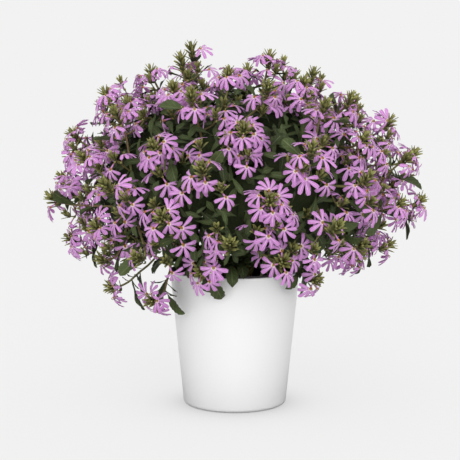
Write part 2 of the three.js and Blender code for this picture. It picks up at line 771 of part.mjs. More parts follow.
// One leafy stem in one body: the main stem, its core of inner leaves, its branches with their
// bud tufts, and its leaves
function makeLeafyStem(stem, index, stems) {
  const parts = [solidOf(stemGeometry(stem)), solidOf(coreGeometry(stem, index, stems))];
  for (const branch of stem.branches) {
    parts.push(solidOf(branchGeometry(branch)));
  }
  for (const leaf of stem.leaves) {
    const face = leaf.face.clone().addScaledVector(leaf.along, -leaf.face.dot(leaf.along)).normalize();
    parts.push(solidOf(leafGeometry(leaf.length).applyMatrix4(turnedTo(face, leaf.root, leaf.along))));
  }
  return geometryOf(parts.reduce((whole, part) => whole.add(part)));
}

const potMaterial = new THREE.MeshStandardMaterial({ color: 0xe9e9e9, roughness: 0.45, metalness: 0 });
const peatMaterial = new THREE.MeshStandardMaterial({ color: 0x1d1713, roughness: 0.95, metalness: 0 });
const greenMaterial = new THREE.MeshStandardMaterial({ color: 0x4d5a30, roughness: 0.6, metalness: 0 });
const bloomMaterial = new THREE.MeshStandardMaterial({ color: 0xb27db2, roughness: 0.55, metalness: 0 });

const tips = layTips();
setHeadRadii(tips);
const stems = layStems(tips);
layLeaves(stems, tips);

const plant = new THREE.Group();

function addPiece(name, geometry, material) {
  const mesh = new THREE.Mesh(geometry, material);
  mesh.name = name;
  plant.add(mesh);
}

addPiece("pot", makePot(), potMaterial);
addPiece("peat", makePeat(stems), peatMaterial);
stems.forEach((stem, index) => {
  addPiece(`leafy_stem_${index + 1}`, makeLeafyStem(stem, index, stems), greenMaterial);
});
tips.filter((tip) => tip.blooms).forEach((tip, index) => {
  const geometry = headGeometry(tip).applyMatrix4(turnedTo(tip.axis, tip.point));
  addPiece(`flower_head_${index + 1}`, geometry, bloomMaterial);
});

export default plant;
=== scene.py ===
"""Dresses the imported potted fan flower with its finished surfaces.

Every new shape is a formula over two parameters: a blade (leaf, bract or petal) over its length
and its width, a tube over its path and its turn, and a lathed wall over its profile and its turn.
The layout is worked out in millimetres by the same rule as the model's, and meshes are written
in metres.
"""

import math
from types import SimpleNamespace

import bmesh
import bpy
import numpy as np
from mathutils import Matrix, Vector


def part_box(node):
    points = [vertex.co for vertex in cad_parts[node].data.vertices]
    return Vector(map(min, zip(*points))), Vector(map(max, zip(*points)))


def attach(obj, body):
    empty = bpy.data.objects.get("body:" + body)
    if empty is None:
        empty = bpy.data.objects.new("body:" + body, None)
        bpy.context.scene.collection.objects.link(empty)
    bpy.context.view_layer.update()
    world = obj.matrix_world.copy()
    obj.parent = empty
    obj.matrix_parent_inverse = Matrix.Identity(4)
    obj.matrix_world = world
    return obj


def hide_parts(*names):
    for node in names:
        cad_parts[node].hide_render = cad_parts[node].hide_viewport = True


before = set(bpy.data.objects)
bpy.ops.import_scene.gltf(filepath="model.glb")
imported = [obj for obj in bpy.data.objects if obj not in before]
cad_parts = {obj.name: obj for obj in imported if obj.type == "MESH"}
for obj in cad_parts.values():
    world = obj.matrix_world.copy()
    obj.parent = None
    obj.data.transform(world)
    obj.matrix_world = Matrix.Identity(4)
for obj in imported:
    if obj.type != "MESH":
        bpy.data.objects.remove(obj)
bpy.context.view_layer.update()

bl_info = {
    "name": "Potted Fan Flower",
    "version": (1, 0, 0),
    "blender": (4, 5, 0),
    "location": "View3D > Sidebar > Fan Flower",
    "description": "Builds a potted fan flower: pot, peat, leafy stems and rings of blooms",
    "category": "Add Mesh",
}

MM = 0.001
GOLDEN_ANGLE = math.pi * (3 - math.sqrt(5))
UP = np.array([0.0, 0.0, 1.0])
NEARLY_UPRIGHT = 0.9
WHITE = (1, 1, 1, 1)

# Pot, in millimetres: an arc is its first and last angle in degrees and its number of points
POT_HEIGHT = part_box("pot")[1].z / MM
POT_RIM_RADIUS = 82.5
POT_BASE_RADIUS = 65.0
POT_WALL = 1.6
POT_FLOOR = 2.4
POT_FOOT_ROUND = 5.0
POT_FOOT_ARC = (-90, 0, 9)
POT_UNDERSIDE_MARGIN = 3.0
POT_INNER_FOOT = POT_FOOT_ROUND + 1
POT_WALL_FROM = POT_FOOT_ROUND + 6
POT_WALL_RINGS = 12
POT_BEAD = 0.6
POT_BEAD_ROUND = 0.8
POT_BEAD_ARC = (-70, 80, 8)
POT_BEAD_HEIGHT = 2.0
POT_BEAD_GAP = 0.4
POT_DARK_EDGE = 2.6
POT_EDGE_ROUND = 0.4
POT_LIP = 0.3
POT_SIDES = 128
INSIDE_SHARE = 0.75
TOLERANCE = 0.1
DRAIN_HOLES = 6
DRAIN_HOLE_RADIUS = 5.0
DRAIN_HOLE_SIDES = 24
DRAIN_CIRCLE_RADIUS = 40.0
DRAIN_SHARP_DEGREES = 30
POT_SHARP_DEGREES = 35
SHARP_DEGREES = 80
MERGE_WITHIN = 0.001

# Peat, in millimetres: the waves of its surface are pitch, share of the height and seed
PEAT_TOP = POT_HEIGHT - 10
PEAT_RINGS = 44
PEAT_SIDES = 112
PEAT_LEVEL_EDGE = 6.0
PEAT_UNDERSIDE_MARGIN = 1.0
PEAT_WAVES = [(34, 1.0, 3), (11, 0.6, 4)]
SEAT_GAP = 0.3

# Mound outline and stems, in millimetres, as in the model
MOUND_CENTRE = np.array([0.0, 0.0, 250.0])
MOUND_TOP_RADIUS = 200.0
MOUND_SIDE_GROWTH = 38.0
MOUND_SKIRT_LOSS = 120.0
MOUND_LAST_POLAR = math.radians(118)
AXIS_LIFT = 0.35
STEM_COUNT = 13
STEM_REACH = 0.94
STEM_TURN = 1.1
STEM_SPREAD = 42.0
STEM_RADIUS = 2.1
STEM_TOP_RADIUS = 1.6
STEM_TONE = 0.5
STEM_DEPTH = 25.0
STEM_FOOT = 6.0
STEM_STEPS = [0.3, 0.6, 0.9]
FORK_STEPS = [0.86, 0.9]
FAN_RISE = 0.62
FAN_LIFT = 45.0
BRANCH_ROOT_RADIUS = 1.4
BRANCH_RADIUS = 1.2
INNER_SHELL = 66.0
NECK = 16.0
TIP_STUB = 3.0
CORE_REACH = 0.95
CORE_GAP = 0.012
CORE_TOP = 64.0
CORE_POINT = 13.0
CORE_BOTTOM = 98.0

# Tips and heads, in millimetres, as in the model
TIP_COUNT = 80
TIP_TURN = 0.4
TIP_CYCLE = 7
HEADS_PER_CYCLE = 3
HEAD_LIMIT = 44
HEAD_RADIUS = 30.5
HEAD_INSET = (22.0, 36.0)
BUD_INSET = (10.0, 24.0)
TIP_SPACING = 44.0
HEAD_CLEARANCE = 0.6
HEAD_BELOW = 8.0
TUFT_RADIUS = 8.5
TUFT_BRACT_HEIGHT = 11.0
TUFT_TOP = 14.0
PLACED_TIPS = [
    ((-54, 0, 444), False),
    ((-104, 0, 415), True),
    ((-160, -8, 388), True),
    ((-200, -10, 338), True),
    ((-214, -8, 284), True),
    ((-201, -24, 210), True),
    ((-149, -40, 152), True),
    ((-97, -74, 141), True),
    ((-38, -118, 182), True),
    ((95, -76, 167), True),
    ((190, -10, 200), True),
    ((228, -20, 257), True),
    ((222, -6, 314), True),
    ((192, 0, 354), True),
    ((148, -5, 380), True),
    ((96, -10, 412), False),
    ((42, -12, 432), True),
]

# Blooms, as in the model
BLOOMS_LEAST = 4
BLOOMS_SPREAD = 2.6
PETALS = 5
THROAT_SHARE = 0.43
PETAL_SHARE = 0.54
PETAL_TAPER = 0.24
PETAL_VARIATION = (0.93, 1.0)
PETAL_DROOP = (2.0, 6.0)
THROAT_HEIGHT = 3.5
HUB_OUTER = 3.7
FAN_HALF_ANGLES = {4: 70, 5: 54, 6: 42}

# Blooms, finer than in the model: lengths in millimetres, fans and tilts in degrees. A pair is a
# span that values are drawn from, a knee or a hook: how far it lies along and back.
LEAST_FAN = 72.0
LOOSE_FAN = 80.0
LEAST_PETAL = 17.0
LOOSE_REACH = (15.5, 19.0)
RING_RISE = (-4.0, 2.0)
RING_REACH = (0.8, 1.1)
RING_TILT = (5.0, 38.0)
RING_SWAY = 0.2
LOWER_RING = SimpleNamespace(throat=(14, 21), rise=(-14, -6), tilt=(15.0, 50.0), turn=0.6)
YOUNG_RING = SimpleNamespace(throat=(10, 15), rise=(-8, 2), tilt=(10.0, 45.0))
SIDE_RING = SimpleNamespace(throat=(8, 13), rise=(-5, 4), tilt=(5.0, 50.0))
LAST_RINGS = (2, 5)
LOOSE_MORE = 2
HUB_SHARE = 0.5
LOWEST_OLDER = 232.0
HIGHEST_OLDER = 395.0
FAN_SWAY = 0.32
FAN_HANG = 0.55
PETAL_OUTLINE = ([0, 0.17, 0.33, 0.5, 0.67, 0.83, 0.93, 1],
                 [0.34, 0.44, 0.6, 0.79, 0.94, 1, 0.95, 0.66])
PETAL_ROOT = 0.3
PETAL_SWAY = 0.05
PETAL_TONE = 0.2
PETAL_RISE = 0.2
PETAL_ARC = 1.04
PETAL_GROOVE = 0.35
PETAL_GROOVE_FADE = 0.6
PETAL_WING = 1.5
PETAL_WAVE = 0.4
PETAL_PHASE = (14, 30, 2)
PETAL_THICKNESS = 0.45
TUBE_SIDES = 5
TUBE_RADII = [0.8, 0.75, 0.8, 1.0, 1.45]
TUBE_KNEE = (2.2, 1.5)
TUBE_MOUTH = 0.4
TUBE_TONE = 0.6
CUP_RADII = [0.9, 1.5, 1.7, 1.5, 0.9]
CUP_SHARE = 0.6
STYLE_RADII = [0.4, 0.36, 0.36, 0.6, 0.4]
STYLE_ROOT = 0.9
STYLE_HOOK = (2.4, 4.6)
STYLE_TIP = 1.5
STYLE_RISE = (1.6, 3.0)

# Branches and side sprays, finer than in the model, in millimetres
ROD_RINGS = 16
ROD_SIDES = 8
BEND_START = 0.8
SIDE_PLACES = [0.45, 0.7, 0.9]
SIDE_TURNS = 8
SIDE_REACH = (20.0, 32.0)
SIDE_LEAN = 0.8
SIDE_INSET = 36.0
SIDE_ROOM = 14.0
SIDE_LOWEST = 188.0
SIDE_OFF_POT = 30.0
SIDE_OFF_DEPTH = 0.5
SIDE_FORBIDDEN = 100.0
SIDE_KNEE = 0.5
SIDE_STUB = 2.0
PLACED_SPRAYS = [(-140, -14, 403)]
SPRAY_ROOT = (0.3, 0.7)
TWIG_RINGS = 8
TWIG_SIDES = 5
TWIG_RADII = (1.0, 0.7)

# Cores, finer than in the model: shares of the cell's reach and insets from the underside round
CELL_GAP = 0.002
LEAST_FACING = 1e-6
CORE_SIDES = 72
CORE_SHARES = np.array([0, 0.4, 0.8, 0.93, 1, 0.97, 0.88, 0.75, 0.6, 0.45, 0.3, 0.15, 0])
CORE_INSETS = np.array([98, 96, 94, 88, 84, 80, 77, 74, 72, 70, 69, 68, 68])
CORE_WAVE_PITCH = 26.0
CORE_WAVE = 2.5

# Leaves, finer than in the model, in millimetres, radians, and shares of the length or width
LEAF_OUTLINE = ([0, 0.12, 0.25, 0.42, 0.58, 0.74, 0.87, 0.96, 1],
                [0.09, 0.12, 0.3, 0.62, 0.88, 1, 0.8, 0.4, 0.05])
TOOTH_DEPTH = 0.2
TEETH_SPAN = (0.38, 0.97)
LEAF_FOLD = (0.28, 0.25)
LEAF_WAVE = 0.022
LEAF_PHASE = (11, 20, 1.5)
LEAF_TONE = (0.25, 1)
LEAF_BEND = 0.34
LEAST_BEND = 1e-3
BLADE_THICKNESS = 0.5
HANGS_BELOW = -0.4
MAIN_TEETH = 8
INNER_LEAF = SimpleNamespace(length=(17, 34), width=(0.45, 0.9), tone=(0, 0.85), bend=(0.2, 1.0),
                             rise=(0.3, 1.1), depth=(60, 80), tries=6, teeth=4)
INNER_TURN = 2.0
INNER_HANG = (0.1, 0.5)
INNER_SKIRT = 0.72
INNER_HEAD = SimpleNamespace(below=5, above=9, share=0.95, checked=[0.6, 1.0])
BRANCH_LEAF = SimpleNamespace(length=(14, 28), width=(0.5, 0.85), tone=(0.2, 1), bend=(0.1, 0.7),
                              rise=(0.3, 0.9), start=0.5, span=0.45, teeth=3)

# Shoots over the pot's rim, in millimetres: the placed ones' angles are in degrees
HANGING_SHOOTS = [-116, -95, -86, -65, -55, -43, -36]
HANG_EVERY = 3
HANG_FRONT = -0.5
OUTER_STEM = 0.5
SHOOT_START = (0.05, 0.35)
SHOOT_REACH = (62, 74)
HANGING_REACH = (72, 77)
SHOOT_HEIGHT = (8, 16)
SHOOT_KNEE = (4, 10)
SHOOT_SWAY = 0.15
SHOOT_FAN = 0.9
SHOOT_LEAF = SimpleNamespace(length=(26, 40), width=(0.7, 1.0), tone=(0.1, 0.9), bend=(0.2, 0.9),
                             rise=(0.25, 0.5), teeth=6)
HANGING_LEAF = SimpleNamespace(length=(34, 46), bend=(1.4, 1.9))

# Bracts and buds of a tuft, in millimetres. A whorl is its count, turn, root height, root radius,
# tip radius, tip height and half width. Side sprays have fewer and smaller ones.
TUFT_WHORLS = [
    (4, 0.785, -1.0, 1.0, TUFT_RADIUS, TUFT_BRACT_HEIGHT + 1, 2.2),
    (5, 0.3, -5.0, 1.2, 10.0, 6.5, 2.3),
    (4, 0.0, 2.0, 0.8, 4.8, 15.0, 2.0),
    (3, 0.6, 5.0, 0.5, 2.0, 15.5, 1.7),
    (4, 1.3, -10.0, 1.2, 10.5, -1.0, 2.1),
]
SIDE_WHORLS = [
    (4, 0.2, -2.0, 0.8, 8.0, 7.0, 2.1),
    (4, 0.9, 1.0, 0.8, 4.5, 12.0, 1.9),
    (3, 0.4, 3.0, 0.5, 1.8, 13.0, 1.6),
]
TUFT_LIFT = 0.5
BRACT_OUTLINE = ([0, 0.25, 0.5, 0.75, 1], [0.45, 0.85, 1, 0.8, 0.12])
BRACT_SWAY = 0.15
BRACT_LENGTHS = (0.82, 1.1)
BRACT_WIDTHS = (0.8, 1.2)
BRACT_BEND = 0.35
BRACT_FOLD = 0.35
BUDS = 5
BUD_SIDES = 5
BUD_RADII = np.array([0.5, 1.2, 1.35, 1.1, 0.35])
BUD_SWELL = (0.8, 1.15)
BUD_TURN = (0, 0.6)
BUD_HEIGHT = (1, 4)
BUD_OFFSET = 1.4
BUD_LEAN = (0.15, 0.75)
BUD_LENGTH = (6, 9)
BUD_TONE = (0.2, 1)

# Leaves, as in the model
LEAF_LENGTH = (34.0, 46.0)
LEAF_WIDTH_SHARE = 0.44
LEAF_SPHERES = np.array([[0.35, 0.15], [0.6, 0.21], [0.82, 0.2], [1, 0.06]])
LEAF_TRIES = 9
LEAF_LEAN = 0.45
LEAF_DRAPE = 0.9
DRAPE_BELOW = 220.0
LEAF_PLACES = [(0.75, 0.95), (0.45, 0.7)]
LEAF_LIMIT = 66
POT_CLEARANCE = 2.0
STEM_CLEARANCE = 0.6
LEAF_CLEARANCE = 0.5
HEAD_BESIDE = 1.0
DISC_SCALE = 170.0
SKIRT_SCALE = 300.0

# Ripple: how many waves are summed, how much finer and weaker each is, and their gain
RIPPLE_OCTAVES = 4
RIPPLE_FINER = 1.7
RIPPLE_WEAKER = 1.5
RIPPLE_GAIN = 1.8

# Draws: the generator's numbers, and the seed of each use
DRAW_MODULUS = 2147483647
DRAW_FACTOR = 16807
SEED_FACTOR = 7919
SEED_SHIFT = 104729
SEED_PLACED = 900
SEED_FORK = 300
SEED_LEAF = 2000
SEEDS_PER_TIP = 4
SEED_HEAD = 5000
SEED_SPRAYS = 61
SEED_INNER = 11
SEED_SHOOTS = 29
SEED_STEM = 100
SEED_CORE = 40
SEED_BLOOMS = 600
SEED_SIDE_BLOOMS = 800

# Stage
FLOOR_SIDES = 96
SENSOR_WIDTH = 36.0
IMAGE_WIDTH = 460


def draw_from(seed):
    """Repeatable numbers between 0 and 1: each state is a factor times the last, modulo a prime."""
    state = (seed * SEED_FACTOR + SEED_SHIFT) % DRAW_MODULUS
    while True:
        state = state * DRAW_FACTOR % DRAW_MODULUS
        yield state / DRAW_MODULUS


def between(span, share):
    """The value at a share of the way through a span."""
    return span[0] + (span[1] - span[0]) * share


def ramp(value, start):
    """0 up to the start, and from there evenly up to 1 over a fifth."""
    return np.clip((value - start) * 5, 0, 1)


def unit(vectors):
    """The vectors with a length of one."""
    return vectors / np.linalg.norm(vectors, axis=-1, keepdims=True)


def norm(vectors):
    """The vectors' lengths."""
    return np.linalg.norm(vectors, axis=-1)


def evenly(count):
    """Shares from 0 to 1, as a column."""
    return np.linspace(0, 1, count)[:, None]


def whole_turn(count):
    """Angles spread evenly over a turn."""
    return np.linspace(0, math.tau, count, endpoint=False)


def on_circle(angle):
    """Points of the unit circle at the angles."""
    return np.stack([np.cos(angle), np.sin(angle)], -1)


def bent_line(start, middle, end, share):
    """A quadratic curve from start to end that is drawn towards middle, at the shares along it."""
    return (1 - share) ** 2 * start + 2 * share * (1 - share) * middle + share**2 * end


def mound_radius(polar):
    """The top radius plus the side growth times sine squared, less a loss below the equator."""
    side = np.minimum(polar, math.pi / 2)
    below = np.maximum(polar - math.pi / 2, 0)
    return MOUND_TOP_RADIUS + MOUND_SIDE_GROWTH * np.sin(side) ** 2 - MOUND_SKIRT_LOSS * below


def disc_point(index, count, turn, reach):
    """A point of the golden spiral that fills a disc evenly."""
    radius = reach * np.sqrt((index + 0.5) / count)
    return radius[..., None] * on_circle(index * GOLDEN_ANGLE + turn)


def polar_of(disc):
    """The angle from straight up that a disc point stands for, so that equal areas stay equal."""
    reach = np.minimum(norm(disc), 1)
    return np.arccos(1 - (1 - math.cos(MOUND_LAST_POLAR)) * reach**2)


def mound_point(disc, inset):
    """The outline's radius less the inset, along the direction that a disc point stands for."""
    polar = polar_of(disc)
    angle = np.arctan2(disc[..., 1], disc[..., 0])
    distance = mound_radius(polar) - inset
    level = distance * np.sin(polar)
    place = np.stack([level * np.cos(angle), level * np.sin(angle), distance * np.cos(polar)], -1)
    return place + MOUND_CENTRE


def fan_point(disc, share):
    """A quadratic curve from the peat to the inner shell, in the disc point's upright plane."""
    reach = min(np.linalg.norm(disc), 1)
    angle = math.atan2(disc[1], disc[0])
    end = mound_point(disc, INNER_SHELL)
    end_flat = np.array([math.hypot(end[0], end[1]), end[2]])
    start = np.array([STEM_SPREAD * reach, PEAT_TOP])
    bend = np.array([
        (start[0] + end_flat[0]) / 2,
        PEAT_TOP + FAN_RISE * (end_flat[1] - PEAT_TOP) + FAN_LIFT * reach**2,
    ])
    flat = bent_line(start, bend, end_flat, share)
    return np.array([flat[0] * math.cos(angle), flat[0] * math.sin(angle), flat[1]])


def axis_at(point):
    """The way that a tip points: out of the mound, turned a little upwards."""
    return unit(unit(point - MOUND_CENTRE) + AXIS_LIFT * UP)


def depth_under_mound(points):
    """How far each point lies inside the mound's outline."""
    offset = points - MOUND_CENTRE
    distance = norm(offset)
    return mound_radius(np.arccos(offset[..., 2] / distance)) - distance


def disc_of(point):
    """The disc point that stands for the direction of a place in the mound."""
    offset = point - MOUND_CENTRE
    cosine = offset[..., 2] / norm(offset)
    reach = np.minimum(np.sqrt((1 - cosine) / (1 - math.cos(MOUND_LAST_POLAR))), 1)
    return reach[..., None] * on_circle(np.arctan2(offset[..., 1], offset[..., 0]))


def turned(side, other, angle):
    """The unit vector at an angle from one of two square ones towards the other."""
    return side * np.cos(angle) + other * np.sin(angle)


def sideways(direction, turn):
    """A unit vector square to the direction, turned about it from a level start."""
    upright_way = np.abs(direction[..., 2:3]) > NEARLY_UPRIGHT
    reference = np.where(upright_way, np.array([1.0, 0.0, 0.0]), UP)
    level = unit(np.cross(reference, direction))
    upright = unit(np.cross(direction, level))
    return turned(level, upright, np.asarray(turn)[..., None])


def square_to(axis):
    """Two unit vectors square to an axis and to each other."""
    side = sideways(axis, 0.0)
    return side, np.cross(axis, side)


def lay_tips():
    """The placed sprays first, then the golden spiral wherever it leaves them room."""
    tips = []
    for index, (at, blooms) in enumerate(PLACED_TIPS):
        point = np.array(at, float)
        tips.append(SimpleNamespace(
            point=point, blooms=blooms, disc=disc_of(point), seed=SEED_PLACED + index, placed=True,
            low=at[2] < DRAPE_BELOW))
    placed = list(tips)
    for index in range(TIP_COUNT):
        draw = draw_from(index + 1)
        disc = disc_point(index, TIP_COUNT, TIP_TURN, 1)
        blooms = index * HEADS_PER_CYCLE % TIP_CYCLE < HEADS_PER_CYCLE
        point = mound_point(disc, between(HEAD_INSET if blooms else BUD_INSET, next(draw)))
        if all(np.linalg.norm(tip.point - point) > TIP_SPACING for tip in placed):
            tips.append(SimpleNamespace(
                point=point, blooms=blooms, disc=disc, seed=index + 1, placed=False, low=False))
    heads = 0
    for tip in tips:
        tip.axis = axis_at(tip.point)
        tip.blooms = tip.blooms and heads < HEAD_LIMIT
        heads += tip.blooms
    for tip in tips:
        rooms = [HEAD_RADIUS]
        for other in tips:
            if other is not tip:
                apart = np.linalg.norm(other.point - tip.point)
                rooms.append((apart / 2 if other.blooms else apart - TUFT_RADIUS) - HEAD_CLEARANCE)
        tip.radius = min(rooms)
    return tips


def lay_stems(tips):
    """Main stems in a spiral, and the branch of each tip from the nearest of them."""
    stems = []
    for index in range(STEM_COUNT):
        disc = disc_point(index, STEM_COUNT, STEM_TURN, STEM_REACH)
        foot = fan_point(disc, 0)
        heights = [PEAT_TOP - STEM_DEPTH + SEAT_GAP, PEAT_TOP + STEM_FOOT]
        path = [np.array([foot[0], foot[1], height]) for height in heights]
        path += [fan_point(disc, share) for share in STEM_STEPS]
        stems.append(SimpleNamespace(disc=disc, path=path, branches=[], leaves=[], index=index))
    for tip in tips:
        stem = min(stems, key=lambda other: np.linalg.norm(other.disc - tip.disc))
        draw = draw_from(tip.seed + SEED_FORK)
        path = [fan_point(stem.disc, FORK_STEPS[int(next(draw) * len(FORK_STEPS))])]
        if tip.placed:
            path.append(fan_point(tip.disc, 1))
        path.append(tip.point - NECK * tip.axis)
        path.append(tip.point + TIP_STUB * tip.axis)
        tip.curve = rounded_path(path, ROD_RINGS)
        stem.branches.append(SimpleNamespace(tip=tip, path=path, sprays=[]))
    return stems


def outer_part(branch):
    """Where the outer straight part of a branch starts, its run and its direction."""
    start, end = branch.path[-3], branch.path[-2]
    return start, end - start, unit(end - start)


def spray_room(points, taken):
    """How good a place each point is for a side spray: its distance from the nearest tip, less
    half of how far it lies off the wanted depth, and far less over the pot or near the floor.
    """
    apart = norm(points[:, None] - np.array(taken)).min(-1)
    flat = np.hypot(points[:, 0], points[:, 1])
    over_pot = (points[:, 2] < POT_HEIGHT + SIDE_OFF_POT) & (flat < POT_RIM_RADIUS + SIDE_OFF_POT)
    low = over_pot | (points[:, 2] < SIDE_LOWEST)
    off_depth = np.abs(depth_under_mound(points) - SIDE_INSET)
    return apart - off_depth * SIDE_OFF_DEPTH - SIDE_FORBIDDEN * low


def lay_sprays(stems, tips):
    """Side sprays, which the model lacks: on each branch, at most one at each of the side places. Of
    several turns round the branch, a spray takes the one with most room. The placed ones follow.
    """
    rng = np.random.default_rng(SEED_SPRAYS)
    taken = [tip.point for tip in tips]
    turns = whole_turn(SIDE_TURNS)
    share = evenly(TWIG_RINGS)
    branches = [branch for stem in stems for branch in stem.branches]
    for branch in branches:
        start, run, direction = outer_part(branch)
        for place in SIDE_PLACES:
            root = start + run * place
            around = np.broadcast_to(direction, (SIDE_TURNS, 3))
            way = sideways(around, turns + rng.uniform(0, math.tau))
            points = root + unit(way + SIDE_LEAN * direction) * rng.uniform(*SIDE_REACH)
            room = spray_room(points, taken)
            best = int(room.argmax())
            if room[best] >= SIDE_ROOM:
                point = points[best]
                axis = axis_at(point)
                knee = point - axis * rng.uniform(*SIDE_REACH) * SIDE_KNEE
                curve = bent_line(root, knee, point + axis * SIDE_STUB, share)
                taken.append(point)
                branch.sprays.append(SimpleNamespace(point=point, axis=axis, curve=curve))
    for at in PLACED_SPRAYS:
        point = np.array(at, float)
        axis = axis_at(point)
        branch = min(branches, key=lambda other: np.linalg.norm(other.tip.point - point))
        root = branch.path[-3] * SPRAY_ROOT[0] + branch.path[-2] * SPRAY_ROOT[1]
        curve = rounded_path([root, point - NECK * axis, point + TIP_STUB * axis], TWIG_RINGS)
        branch.sprays.append(SimpleNamespace(point=point, axis=axis, curve=curve))


def past_border(point, disc, other):
    """How far a disc point lies past the border between two stems' cells, less the gap."""
    away = other - disc
    span = norm(away)
    return ((point - disc) * away).sum(-1) / span - (span / 2 - CORE_GAP)


class Obstacles:
    """Everything that a leaf keeps clear of, as arrays, each row with the stem that owns it."""

    def __init__(self, stems, tips):
        self.discs = np.array([stem.disc for stem in stems])
        heads = [tip for tip in tips if tip.blooms]
        self.head_points = np.array([tip.point for tip in heads])
        self.head_axes = np.array([tip.axis for tip in heads])
        self.head_radii = np.array([tip.radius for tip in heads])
        rods, owners, tufts, tuft_owners = [], [], [], []
        for stem in stems:
            paths = [stem.path] + [branch.path for branch in stem.branches]
            pairs = [pair for path in paths for pair in zip(path, path[1:])]
            rods += pairs
            owners += [stem.index] * len(pairs)
            tufts += [branch.tip.point for branch in stem.branches]
            tuft_owners += [stem.index] * len(stem.branches)
        self.rods = np.array(rods)
        self.rod_owners = np.array(owners)
        self.tufts = np.array(tufts)
        self.tuft_owners = np.array(tuft_owners)
        self.leaf_spheres = np.zeros((0, 4))
        self.leaf_owners = np.zeros(0, int)

    def over_heads(self, centres):
        """Heights over the heads' discs, and distances from their axes, for every centre."""
        offset = centres[:, None] - self.head_points
        height = (offset * self.head_axes).sum(-1)
        across = norm(offset - height[..., None] * self.head_axes)
        return height, across

    def clear(self, centres, radii, owner):
        """True where all the spheres of one leaf are clear of what other pieces hold."""
        flat = np.hypot(centres[:, 0], centres[:, 1])
        outside = flat > POT_RIM_RADIUS + radii + POT_CLEARANCE
        if not (outside | (centres[:, 2] > POT_HEIGHT + radii + POT_CLEARANCE)).all():
            return False
        height, across = self.over_heads(centres)
        size = radii[:, None]
        away = (height < -(HEAD_BELOW + size)) | (height > TUFT_TOP + size)
        if not (away | (across > self.head_radii + size + HEAD_BESIDE)).all():
            return False
        inset = depth_under_mound(centres)
        disc = disc_of(centres)
        others = np.delete(self.discs, owner, 0)
        past = past_border(disc[:, None], self.discs[owner], others)
        over = (inset < CORE_TOP - CORE_POINT - radii) | (inset > CORE_BOTTOM + radii)
        beyond = (norm(disc) - CORE_REACH) * SKIRT_SCALE > radii
        if not (over | beyond | (-past * DISC_SCALE > size).all(-1)).all():
            return False
        start, end = self.rods[self.rod_owners != owner].transpose(1, 0, 2)
        run = end - start
        share = ((centres[:, None] - start) * run).sum(-1) / (run * run).sum(-1)
        nearest = start + np.clip(share, 0, 1)[..., None] * run
        apart = norm(centres[:, None] - nearest)
        if not (apart > size + STEM_RADIUS + STEM_CLEARANCE).all():
            return False
        tufts = self.tufts[self.tuft_owners != owner]
        if not (norm(centres[:, None] - tufts) > TUFT_TOP + size).all():
            return False
        beside = self.leaf_spheres[self.leaf_owners != owner]
        apart = norm(centres[:, None] - beside[:, :3])
        return bool((apart > beside[:, 3] + size + LEAF_CLEARANCE).all())

    def keep(self, centres, radii, owner):
        """Adds the spheres of a leaf that found its place."""
        self.leaf_spheres = np.vstack([self.leaf_spheres, np.column_stack([centres, radii])])
        self.leaf_owners = np.append(self.leaf_owners, [owner] * len(radii))


def lay_leaf(stem, branch, place, obstacles):
    """Tries a leaf at golden turns round its branch until its spheres are clear."""
    draw = draw_from(branch.tip.seed * SEEDS_PER_TIP + place + SEED_LEAF)
    start, run, direction = outer_part(branch)
    root = start + run * between(LEAF_PLACES[place], next(draw))
    length = between(LEAF_LENGTH, next(draw))
    first_turn = next(draw) * math.tau
    drape = -LEAF_DRAPE * UP if branch.tip.low else 0 * UP
    for attempt in range(LEAF_TRIES):
        out = sideways(direction, first_turn + attempt * GOLDEN_ANGLE)
        along = unit(out + LEAF_LEAN * direction + drape)
        centres = root + along * length * LEAF_SPHERES[:, :1]
        radii = length * LEAF_SPHERES[:, 1]
        if obstacles.clear(centres, radii, stem.index):
            obstacles.keep(centres, radii, stem.index)
            leaf = SimpleNamespace(root=root, along=along, length=length, face=direction)
            stem.leaves.append(leaf)
            return 1
    return 0


def lay_leaves(stems, obstacles):
    """The large leaves, low branches first, up to the limit of the model."""
    count = 0
    for low in (True, False):
        for place in range(len(LEAF_PLACES)):
            for stem in stems:
                for branch in stem.branches:
                    if branch.tip.low == low and count < LEAF_LIMIT:
                        count += lay_leaf(stem, branch, place, obstacles)


def add_object(name, data):
    """A new object in the scene."""
    made = bpy.data.objects.new(name, data)
    bpy.context.scene.collection.objects.link(made)
    return made


